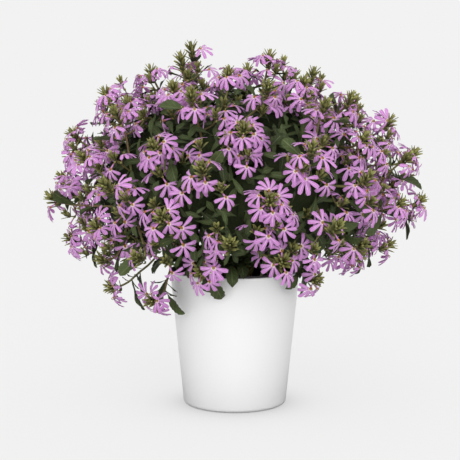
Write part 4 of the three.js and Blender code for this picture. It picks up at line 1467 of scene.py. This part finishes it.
def branch_leaves(stem, each, rng):
    """Small narrow leaves up the outer part of every branch, in a golden turn round it."""
    kind = BRANCH_LEAF
    count = each * len(stem.branches)
    rows = leaf_rows(count)
    index = 0
    for branch in stem.branches:
        start, run, direction = outer_part(branch)
        turn = rng.uniform(0, math.tau)
        for place in range(each):
            share = kind.start + kind.span * (place + rng.uniform()) / each
            rows["root"][index] = start + run * share
            out = sideways(direction, turn + place * GOLDEN_ANGLE)
            rows["along"][index] = unit(out + rng.uniform(*kind.rise) * direction)
            rows["face"][index] = direction
            index += 1
    for name in ("length", "width", "tone", "bend"):
        rows[name] = rng.uniform(*getattr(kind, name), count)
    return rows


def lay_shoots(count, stems):
    """Short leafy shoots that leave the feet of the outer stems and end over the pot's rim: the
    placed ones at the front, then golden turns. Each is the index of its stem, its path, its
    outward direction and whether one of its leaves hangs over the rim.
    """
    rng = np.random.default_rng(SEED_SHOOTS)
    share = evenly(TWIG_RINGS)
    placed = np.radians(HANGING_SHOOTS)
    outer = [stem for stem in stems if np.linalg.norm(stem.disc) > OUTER_STEM]
    angles = np.array([math.atan2(stem.disc[1], stem.disc[0]) for stem in outer])
    shoots = []
    for index in range(count):
        fixed = index < len(placed)
        angle = placed[index] if fixed else index * GOLDEN_ANGLE
        hangs = fixed or (index % HANG_EVERY == 0 and math.sin(angle) > HANG_FRONT)
        apart = np.abs((angles - angle + math.pi) % math.tau - math.pi)
        stem = outer[int(apart.argmin())]
        out = np.array([math.cos(angle), math.sin(angle), 0])
        start = stem.path[1] + (stem.path[2] - stem.path[1]) * rng.uniform(*SHOOT_START)
        reach = rng.uniform(*(HANGING_REACH if hangs else SHOOT_REACH))
        end = out * reach + UP * (POT_HEIGHT + rng.uniform(*SHOOT_HEIGHT))
        knee = (start + end) / 2 + UP * rng.uniform(*SHOOT_KNEE)
        shoots.append((stem.index, bent_line(start, knee, end, share), out, hangs))
    return shoots


def shoot_leaves(shoots, each, rng):
    """Broad leaves round the end of every shoot. The first one of some hangs over the rim."""
    count = each * len(shoots)
    rows = leaf_rows(count)
    for index in range(count):
        _, path, out, hanging = shoots[index // each]
        place = index % each
        hangs = hanging and place == 0
        kind = HANGING_LEAF if hangs else SHOOT_LEAF
        turn = rng.normal(0, SHOOT_SWAY) + (0 if hangs else (place - (each - 1) / 2) * SHOOT_FAN)
        level = turned(out, np.cross(UP, out), turn)
        rows["root"][index] = path[-1] if hangs else path[-3]
        rows["along"][index] = unit(level + rng.uniform(*SHOOT_LEAF.rise) * UP)
        rows["face"][index] = UP
        rows["bend"][index] = rng.uniform(*kind.bend)
        rows["length"][index] = rng.uniform(*kind.length)
    rows["width"] = rng.uniform(*SHOOT_LEAF.width, count)
    rows["tone"] = rng.uniform(*SHOOT_LEAF.tone, count)
    return rows


def make_foliage(settings, stems, obstacles):
    """One piece for each main stem: its core, stems, tufts, buds and leaves."""
    materials = [
        leaf_material(settings.leaf, settings.rib),
        core_material(settings.leaf),
        stem_material(settings.stem, settings.stem_red),
        bract_material(settings.bract, settings.bract_tip),
    ]
    inner, owners = inner_leaves(settings.inner_leaves, obstacles)
    shoots = lay_shoots(settings.shoots, stems)
    for stem in stems:
        rng = np.random.default_rng(SEED_STEM + stem.index)
        bundle = Bundle()
        tips = [branch.tip for branch in stem.branches]
        main_path = smooth_path(stem.path, ROD_RINGS)
        add_stems(bundle, [main_path], (STEM_RADIUS, STEM_TOP_RADIUS), ROD_SIDES)
        branch_radii = (BRANCH_ROOT_RADIUS, BRANCH_RADIUS)
        add_stems(bundle, [tip.curve for tip in tips], branch_radii, ROD_SIDES)
        add_core(bundle, stem, obstacles.discs)
        add_tufts(bundle, tips, TUFT_WHORLS, rng)
        add_buds(bundle, tips, rng)
        sprays = [spray for branch in stem.branches for spray in branch.sprays]
        if sprays:
            add_tufts(bundle, sprays, SIDE_WHORLS, rng)
            add_stems(bundle, [spray.curve for spray in sprays], TWIG_RADII, TWIG_SIDES)
        if stem.leaves:
            add_leaves(bundle, LEAF_GRID, main_leaves(stem, rng), MAIN_TEETH)
        own_inner = {name: value[owners == stem.index] for name, value in inner.items()}
        add_leaves(bundle, SMALL_LEAF_GRID, own_inner, INNER_LEAF.teeth)
        small = branch_leaves(stem, settings.branch_leaves, rng)
        add_leaves(bundle, SMALL_LEAF_GRID, small, BRANCH_LEAF.teeth)
        own_shoots = [shoot for shoot in shoots if shoot[0] == stem.index]
        if own_shoots:
            add_stems(bundle, [shoot[1] for shoot in own_shoots], TWIG_RADII, TWIG_SIDES)
            broad = shoot_leaves(own_shoots, settings.shoot_leaves, rng)
            add_leaves(bundle, SHOOT_LEAF_GRID, broad, SHOOT_LEAF.teeth)
        piece = bundle.write(f"foliage_{stem.index + 1}", materials)
        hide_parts(f"leafy_stem_{stem.index + 1}")


# Blooms


PETAL_SLOT, TUBE_SLOT, CUP_SLOT = range(3)


def petal_fan(fan, reach, next_share):
    """The petals of one bloom, spread evenly over a fan, each with its spread from the middle, a
    drawn reach, which is less at the sides, and a drawn droop.
    """
    petals = []
    for petal in range(PETALS):
        share = petal / (PETALS - 1) - 0.5
        taper = (1 - PETAL_TAPER * abs(share)) * between(PETAL_VARIATION, next_share())
        petals.append((share * 2 * fan, reach * taper, between(PETAL_DROOP, next_share())))
    return petals


def head_layout(tip):
    """The ring of blooms that the model holds: each bloom's middle angle, and each petal's spread
    from it, reach and droop, drawn in the model's order. The fans open a little wider here, and
    small heads keep petals of full size.
    """
    draw = draw_from(tip.seed + SEED_HEAD)
    count = BLOOMS_LEAST + int(next(draw) * BLOOMS_SPREAD)
    fan = math.radians(max(FAN_HALF_ANGLES[count], LEAST_FAN))
    turn = next(draw) * math.tau
    reach = max(PETAL_SHARE * tip.radius, LEAST_PETAL)
    return [(turn + bloom * math.tau / count, petal_fan(fan, reach, draw.__next__))
            for bloom in range(count)]


class BloomSet:
    """Blooms gathered one by one and built together: tubes, calyx cups, styles and petals."""

    def __init__(self, seed):
        self.rng = np.random.default_rng(seed)
        self.rows = {name: [] for name in ("root", "way", "face", "reach", "droop", "tone")}
        self.tubes, self.cups, self.styles = [], [], []

    def add(self, start, mouth, out, axis, tilt, petals):
        """One bloom from its start on the stem to its mouth. Its fan faces between the axis and
        outwards, by the tilt, and its middle leans towards the ground. The tube and the style are
        quadratic curves, and the calyx cup runs straight from the start towards the tube's knee.
        """
        rng = self.rng
        sway = rng.normal(0, FAN_SWAY, 3)
        face = unit(math.cos(tilt) * axis + math.sin(tilt) * out + sway)
        middle = unit(out - (out @ face) * face)
        middle = unit(middle + FAN_HANG * (face[2] * face - UP))
        across = np.cross(face, middle)
        share = evenly(len(TUBE_RADII))
        knee = (start + mouth) / 2 + axis * TUBE_KNEE[0] - face * TUBE_KNEE[1]
        self.tubes.append(bent_line(start, knee, mouth + face * TUBE_MOUTH, share))
        self.cups.append(start + share * (knee - start) * CUP_SHARE)
        hook = mouth - middle * STYLE_HOOK[0] + face * STYLE_HOOK[1]
        tip = mouth + middle * STYLE_TIP + face * rng.uniform(*STYLE_RISE)
        self.styles.append(bent_line(mouth - middle * STYLE_ROOT, hook, tip, share))
        bloom_tone = rng.uniform()
        for spread, reach, droop in petals:
            way = turned(middle, across, spread + rng.normal(0, PETAL_SWAY))
            tone = np.clip(bloom_tone + rng.uniform(-PETAL_TONE, PETAL_TONE), 0, 1)
            values = (mouth + way * PETAL_ROOT, way, face, reach, droop, tone)
            for rows, value in zip(self.rows.values(), values):
                rows.append(value)

    def petal_points(self, half_width):
        """Petals that rise from the mouth and arch over to their droop: a narrow claw that
        widens to an oblong blade with a blunt end, a grooved middle and thin rippled wings.
        """
        rows = {name: np.array(values) for name, values in self.rows.items()}
        grid, tone = PETAL_GRID, column(rows["tone"])
        along = unit(rows["way"] + PETAL_RISE * rows["face"])
        bend = 2 * (rows["droop"] / rows["reach"] + PETAL_RISE)
        width = half_width * rows["reach"] / LEAST_PETAL
        wing = np.abs(grid.across) ** PETAL_WING
        groove = column(width) * PETAL_GROOVE * wing * (1 - grid.along * PETAL_GROOVE_FADE)
        waves = rim_wave(grid, tone, PETAL_PHASE) * wing * PETAL_WAVE * grid.along
        outline = np.interp(grid.along, *PETAL_OUTLINE)
        points = blades(grid, rows["root"], along, rows["face"], rows["reach"] * PETAL_ARC, width,
                        outline, bend, groove + waves, PETAL_THICKNESS)
        return points, tone

    def write(self, name, settings, materials):
        """One piece of all the blooms, with petals of the width in the settings."""
        bundle, grid = Bundle(), PETAL_GRID
        points, tone = self.petal_points(settings.petal_width / MM / 2)
        bundle.add(points, grid.faces, grid.along, grid.across, tone, PETAL_SLOT)
        for paths, radii, slot in (
                (self.tubes, TUBE_RADII, TUBE_SLOT), (self.cups, CUP_RADII, CUP_SLOT),
                (self.styles, STYLE_RADII, CUP_SLOT)):
            add_tubes(bundle, np.array(paths), radii, TUBE_SIDES, TUBE_TONE, slot)
        piece = bundle.write(name, materials)
        return piece


def add_ring(blooms, tip, count, turn, ring):
    """Blooms round a tuft's stem, with throats, rises and tilts drawn from the ring's spans. Each
    starts on one of the last rings of the stem's curve.
    """
    rng = blooms.rng
    side, other = square_to(tip.axis)
    for index in range(count):
        angle = turn + (index + rng.uniform(-RING_SWAY, RING_SWAY)) * math.tau / count
        out = turned(side, other, angle)
        start = tip.curve[-int(rng.integers(*LAST_RINGS))]
        mouth = tip.point + out * rng.uniform(*ring.throat) + tip.axis * rng.uniform(*ring.rise)
        petals = petal_fan(math.radians(LOOSE_FAN), rng.uniform(*LOOSE_REACH), rng.random)
        blooms.add(start, mouth, out, tip.axis, math.radians(rng.uniform(*ring.tilt)), petals)


def make_head(number, tip, settings, materials):
    """One spray: the model's ring of blooms, and a few older ones below it."""
    blooms = BloomSet(SEED_BLOOMS + number)
    side, other = square_to(tip.axis)
    throat = THROAT_SHARE * tip.radius
    for middle, petals in head_layout(tip):
        out = turned(side, other, middle)
        start = tip.point + out * HUB_OUTER * HUB_SHARE
        height = THROAT_HEIGHT + blooms.rng.uniform(*RING_RISE)
        mouth = tip.point + out * throat * blooms.rng.uniform(*RING_REACH) + tip.axis * height
        tilt = math.radians(blooms.rng.uniform(*RING_TILT))
        blooms.add(start, mouth, out, tip.axis, tilt, petals)
    if LOWEST_OLDER < tip.point[2] < HIGHEST_OLDER:
        add_ring(blooms, tip, settings.lower_blooms, middle + LOWER_RING.turn, LOWER_RING)
    piece = blooms.write(f"blooms_{number}", settings, materials)
    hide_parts(f"flower_head_{number}")


def loose_count(least, height, rng):
    """How many loose blooms a tuft at that height carries: up to two more than the least in the
    mound's middle, and fewer near its top and its skirt.
    """
    count = int(rng.integers(least, least + LOOSE_MORE + 1))
    return count if LOWEST_OLDER < height < HIGHEST_OLDER else max(count // 2, 1)


def make_side_blooms(stem, settings, materials):
    """The looser blooms of one stem: below the tufts without a ring, and on its side sprays."""
    blooms = BloomSet(SEED_SIDE_BLOOMS + stem.index)
    for branch in stem.branches:
        bare = [] if branch.tip.blooms else [(branch.tip, settings.young_blooms, YOUNG_RING)]
        beside = [(spray, settings.side_blooms, SIDE_RING) for spray in branch.sprays]
        for end, least, ring in bare + beside:
            count = loose_count(least, end.point[2], blooms.rng)
            add_ring(blooms, end, count, blooms.rng.uniform(0, math.tau), ring)
    blooms.write(f"side_blooms_{stem.index + 1}", settings, materials)


def make_blooms(settings, tips, stems):
    """The rings of blooms, one piece each, and the looser blooms, one piece for each stem."""
    marks = (settings.line, settings.throat, settings.spot)
    materials = [
        petal_material(settings.petal, settings.pale, *marks),
        tube_material(settings.tube, settings.petal, settings.spot),
        bpy.data.materials["Bract"],
    ]
    for number, tip in enumerate([tip for tip in tips if tip.blooms], 1):
        make_head(number, tip, settings, materials)
    for stem in stems:
        make_side_blooms(stem, settings, materials)


# Stage


def floor_glow(tree, outside, glow, depth, reach):
    """The glow less a share, depth at the pot, that halves over each reach outside it: a painted
    shadow round the pot.
    """
    shade = maths(tree, "POWER", 0.5, maths(tree, "DIVIDE", outside, reach))
    return maths(tree, "ADD", times(tree, shade, -depth * glow), glow)


def make_floor(settings):
    """A wide round floor that meets the pot's underside. It glows, as a light table does, and the
    glow halves its lack over a short reach outside the pot, as a painted soft contact shadow. The
    light that it throws lacks more round the pot, which keeps the pot's foot from glaring.
    """
    turn = whole_turn(FLOOR_SIDES)
    rim = settings.floor_radius * np.column_stack([on_circle(turn), 0 * turn])
    mesh = bpy.data.meshes.new("floor")
    mesh.from_pydata(rim.tolist(), [], [list(range(FLOOR_SIDES))])
    material, tree, shader = new_material("Floor", 0.9, 0.0)
    grey = settings.floor_grey
    colour_surface(tree, shader, (grey, grey, grey, 1), 3.0, 0.006)
    distance = make_node(tree, "VectorMath", {0: own_space(tree)}, operation="LENGTH")
    outside = maths(tree, "SUBTRACT", distance.outputs["Value"], POT_BASE_RADIUS * MM)
    glow = settings.floor_glow
    # Painted contact shadow: the glow that the camera sees darkens towards the pot.
    shown = floor_glow(tree, outside, glow, settings.shade_depth, settings.shade_reach)
    thrown = floor_glow(tree, outside, glow, 1.0, settings.light_reach)
    more = times(tree, maths(tree, "SUBTRACT", shown, thrown), seen_by_camera(tree))
    strength = maths(tree, "ADD", thrown, more)
    feed(tree, shader, {"Emission Color": WHITE, "Emission Strength": strength})
    mesh.materials.append(material)
    add_object("floor", mesh)


def make_sky(settings):
    """An even sky: one strength for light, and the backdrop's grey for what the camera sees."""
    world = bpy.data.worlds.new("Studio")
    bpy.context.scene.world = world
    world.use_nodes = True
    tree = world.node_tree
    light = tree.nodes["Background"]
    feed(tree, light, {"Color": WHITE, "Strength": settings.sky})
    seen = make_node(tree, "Background", {"Color": WHITE, "Strength": settings.backdrop})
    values = {0: seen_by_camera(tree), 1: light.outputs[0], 2: seen.outputs[0]}
    mix = make_node(tree, "MixShader", values)
    feed(tree, tree.nodes["World Output"], {0: mix.outputs[0]})


def make_lamp(name, strength, softness, elevation, azimuth):
    """A soft distant lamp. Azimuth 0 shines from the camera's side, and grows to the right."""
    lamp = bpy.data.lights.new(name, "SUN")
    lamp.energy = strength
    lamp.angle = softness
    add_object(name, lamp).rotation_euler = (math.pi / 2 - elevation, 0, azimuth)


def make_camera(settings):
    """The photo's camera, in front of the pot. Its focal length is in pixels of the photo."""
    view = bpy.data.cameras.new("camera")
    view.sensor_width = SENSOR_WIDTH
    view.lens = settings.focal * SENSOR_WIDTH / IMAGE_WIDTH
    camera = add_object("camera", view)
    camera.location = (0, -settings.distance, settings.eye_height)
    camera.rotation_euler = (math.pi / 2 - settings.pitch, 0, settings.yaw)
    bpy.context.scene.camera = camera


# Settings, operators and panel


def length_property(name, description, default):
    return bpy.props.FloatProperty(name=name, description=description, default=default,
                                   unit="LENGTH", precision=4)


def number_property(name, description, default):
    return bpy.props.FloatProperty(name=name, description=description, default=default, precision=4)


def angle_property(name, description, default):
    return bpy.props.FloatProperty(name=name, description=description,
                                   default=math.radians(default), unit="ROTATION")


def colour_property(name, description, default):
    return bpy.props.FloatVectorProperty(name=name, description=description, default=default,
                                         subtype="COLOR", size=3, min=0, max=1)


def count_property(name, description, default):
    return bpy.props.IntProperty(name=name, description=description, default=default, min=1)


class PotSettings(bpy.types.PropertyGroup):
    white: colour_property("White", "Outside of the pot", (0.87, 0.87, 0.87))
    dark: colour_property("Dark", "Inside and top edge of the pot", (0.022, 0.018, 0.021))
    roughness: number_property("Roughness", "Roughness of the moulded plastic", 0.42)


class PeatSettings(bpy.types.PropertyGroup):
    colour: colour_property("Colour", "Damp peat", (0.013, 0.009, 0.007))
    bump: length_property("Bump", "Height of the uneven surface", 0.0011)


class FoliageSettings(bpy.types.PropertyGroup):
    leaf: colour_property("Leaf", "Middle green of the leaves", (0.041, 0.057, 0.0185))
    rib: colour_property("Rib", "Midribs and veins", (0.15, 0.18, 0.08))
    stem: colour_property("Stem", "Young stems", (0.16, 0.16, 0.05))
    stem_red: colour_property("Red stem", "Reddened stems", (0.15, 0.1, 0.045))
    # The bracts' root colour is darker than their tip colour as painted shade of the tuft's crowded
    # base.
    bract: colour_property("Bract", "Roots of the bracts and buds", (0.075, 0.08, 0.027))
    bract_tip: colour_property("Bract tip", "Points of the bracts", (0.31, 0.31, 0.1))
    inner_leaves: count_property("Inner leaves", "Leaves that stand on the cores", 1450)
    branch_leaves: count_property("Branch leaves", "Small leaves on each branch", 6)
    shoots: count_property("Shoots", "Leafy shoots over the rim of the pot", 84)
    shoot_leaves: count_property("Shoot leaves", "Broad leaves on each shoot", 4)


class BloomSettings(bpy.types.PropertyGroup):
    petal: colour_property("Petal", "Mauve of the petals", (0.61, 0.26, 0.62))
    pale: colour_property("Channel", "Pale middle of a petal", (0.78, 0.57, 0.78))
    line: colour_property("Line", "Lines beside the channel", (0.36, 0.1, 0.36))
    throat: colour_property("Throat", "Pale ring round the spot", (0.86, 0.7, 0.69))
    spot: colour_property("Spot", "Spot in the throat", (0.5, 0.19, 0.03))
    tube: colour_property("Tube", "Foot of the bloom's tube", (0.3, 0.15, 0.07))
    petal_width: length_property("Petal width", "Widest part of a petal", 0.0053)
    lower_blooms: count_property("Lower blooms", "Older blooms below each ring", 2)
    young_blooms: count_property("Young blooms", "Fewest blooms below a tuft without a ring", 2)
    side_blooms: count_property("Side blooms", "Fewest blooms on a side spray", 1)


class StageSettings(bpy.types.PropertyGroup):
    distance: length_property("Distance", "From the camera to the pot's axis", 1.4)
    eye_height: length_property("Eye height", "Height of the camera over the floor", 0.3432)
    pitch: angle_property("Pitch", "How far the camera looks down", 5.0)
    yaw: angle_property("Yaw", "How far the camera looks to the left", 0.25)
    focal: number_property("Focal length", "In pixels of a 460 pixel wide image", 1108.3)
    floor_radius: length_property("Floor radius", "Reach of the floor", 40.0)
    floor_grey: number_property("Floor grey", "Reflectance of the floor", 0.12)
    floor_glow: number_property("Floor glow", "Light that the floor gives", 0.765)
    light_reach: length_property("Light reach", "Distance that halves the lack of light", 0.12)
    # The pot's shadow on the floor is painted into the floor's glow by these two.
    shade_reach: length_property("Shade reach", "Distance that halves the pot's shadow", 0.016)
    shade_depth: number_property("Shade depth", "Share of the glow that is lost at the pot", 0.24)
    sky: number_property("Sky", "Strength of the even light", 0.75)
    backdrop: number_property("Backdrop", "Brightness of the background", 0.887)
    key: number_property("Key", "Strength of the soft lamp above", 0.55)
    key_softness: angle_property("Key softness", "Angle that the lamp above fills", 50.0)
    key_elevation: angle_property("Key height", "Height of the lamp above", 62.0)
    key_azimuth: angle_property("Key turn", "Turn of the lamp above", -10.0)
    front: number_property("Front", "Strength of the lamp in front", 2.9)
    front_softness: angle_property("Front softness", "Angle that the lamp in front fills", 80.0)
    front_elevation: angle_property("Front height", "Height of the lamp in front", -2.0)


def lay_plant():
    """Tips, stems with their branches, sprays and leaves, and what they keep clear of."""
    tips = lay_tips()
    stems = lay_stems(tips)
    lay_sprays(stems, tips)
    obstacles = Obstacles(stems, tips)
    lay_leaves(stems, obstacles)
    return tips, stems, obstacles


class FANFLOWER_OT_pot(bpy.types.Operator):
    """Make the lathed pot with its bead, dark edge and drain holes"""

    bl_idname = "fanflower.pot"
    bl_label = "Pot"

    def execute(self, context):
        make_pot(context.scene.fanflower_pot)
        return {"FINISHED"}


class FANFLOWER_OT_peat(bpy.types.Operator):
    """Make the uneven peat that fills the pot"""

    bl_idname = "fanflower.peat"
    bl_label = "Peat"

    def execute(self, context):
        make_peat(context.scene.fanflower_peat)
        return {"FINISHED"}


class FANFLOWER_OT_foliage(bpy.types.Operator):
    """Make the leafy stems: rods, leaves, bract tufts and buds"""

    bl_idname = "fanflower.foliage"
    bl_label = "Foliage"

    def execute(self, context):
        _, stems, obstacles = lay_plant()
        make_foliage(context.scene.fanflower_foliage, stems, obstacles)
        return {"FINISHED"}


class FANFLOWER_OT_blooms(bpy.types.Operator):
    """Make the rings of fan-shaped blooms, after the foliage"""

    bl_idname = "fanflower.blooms"
    bl_label = "Blooms"

    def execute(self, context):
        tips, stems, _ = lay_plant()
        make_blooms(context.scene.fanflower_blooms, tips, stems)
        return {"FINISHED"}


class FANFLOWER_OT_stage(bpy.types.Operator):
    """Make the floor, the soft light and the camera"""

    bl_idname = "fanflower.stage"
    bl_label = "Stage"

    def execute(self, context):
        settings = context.scene.fanflower_stage
        make_floor(settings)
        make_sky(settings)
        make_lamp("key", settings.key, settings.key_softness, settings.key_elevation,
                  settings.key_azimuth)
        make_lamp("front", settings.front, settings.front_softness, settings.front_elevation, 0)
        make_camera(settings)
        context.scene.view_settings.view_transform = "Standard"
        return {"FINISHED"}


class FANFLOWER_PT_panel(bpy.types.Panel):
    """Buttons and values for every piece of the plant"""

    bl_label = "Fan Flower"
    bl_idname = "FANFLOWER_PT_panel"
    bl_space_type = "VIEW_3D"
    bl_region_type = "UI"
    bl_category = "Fan Flower"

    def draw(self, context):
        for part in PARTS:
            box = self.layout.box()
            box.operator(f"fanflower.{part}")
            settings = getattr(context.scene, f"fanflower_{part}")
            for name in settings.bl_rna.properties.keys():
                if name not in ("rna_type", "name"):
                    box.prop(settings, name)


PARTS = {
    "pot": PotSettings,
    "peat": PeatSettings,
    "foliage": FoliageSettings,
    "blooms": BloomSettings,
    "stage": StageSettings,
}
CLASSES = [
    *PARTS.values(), FANFLOWER_OT_pot, FANFLOWER_OT_peat, FANFLOWER_OT_foliage,
    FANFLOWER_OT_blooms, FANFLOWER_OT_stage, FANFLOWER_PT_panel,
]


def register():
    for each in CLASSES:
        bpy.utils.register_class(each)
    for part, settings in PARTS.items():
        setattr(bpy.types.Scene, f"fanflower_{part}", bpy.props.PointerProperty(type=settings))


def unregister():
    for part in PARTS:
        delattr(bpy.types.Scene, f"fanflower_{part}")
    for each in reversed(CLASSES):
        bpy.utils.unregister_class(each)


def main():
    register()
    for part in PARTS:
        getattr(bpy.ops.fanflower, part)()


if __name__ == "__main__":
    main()
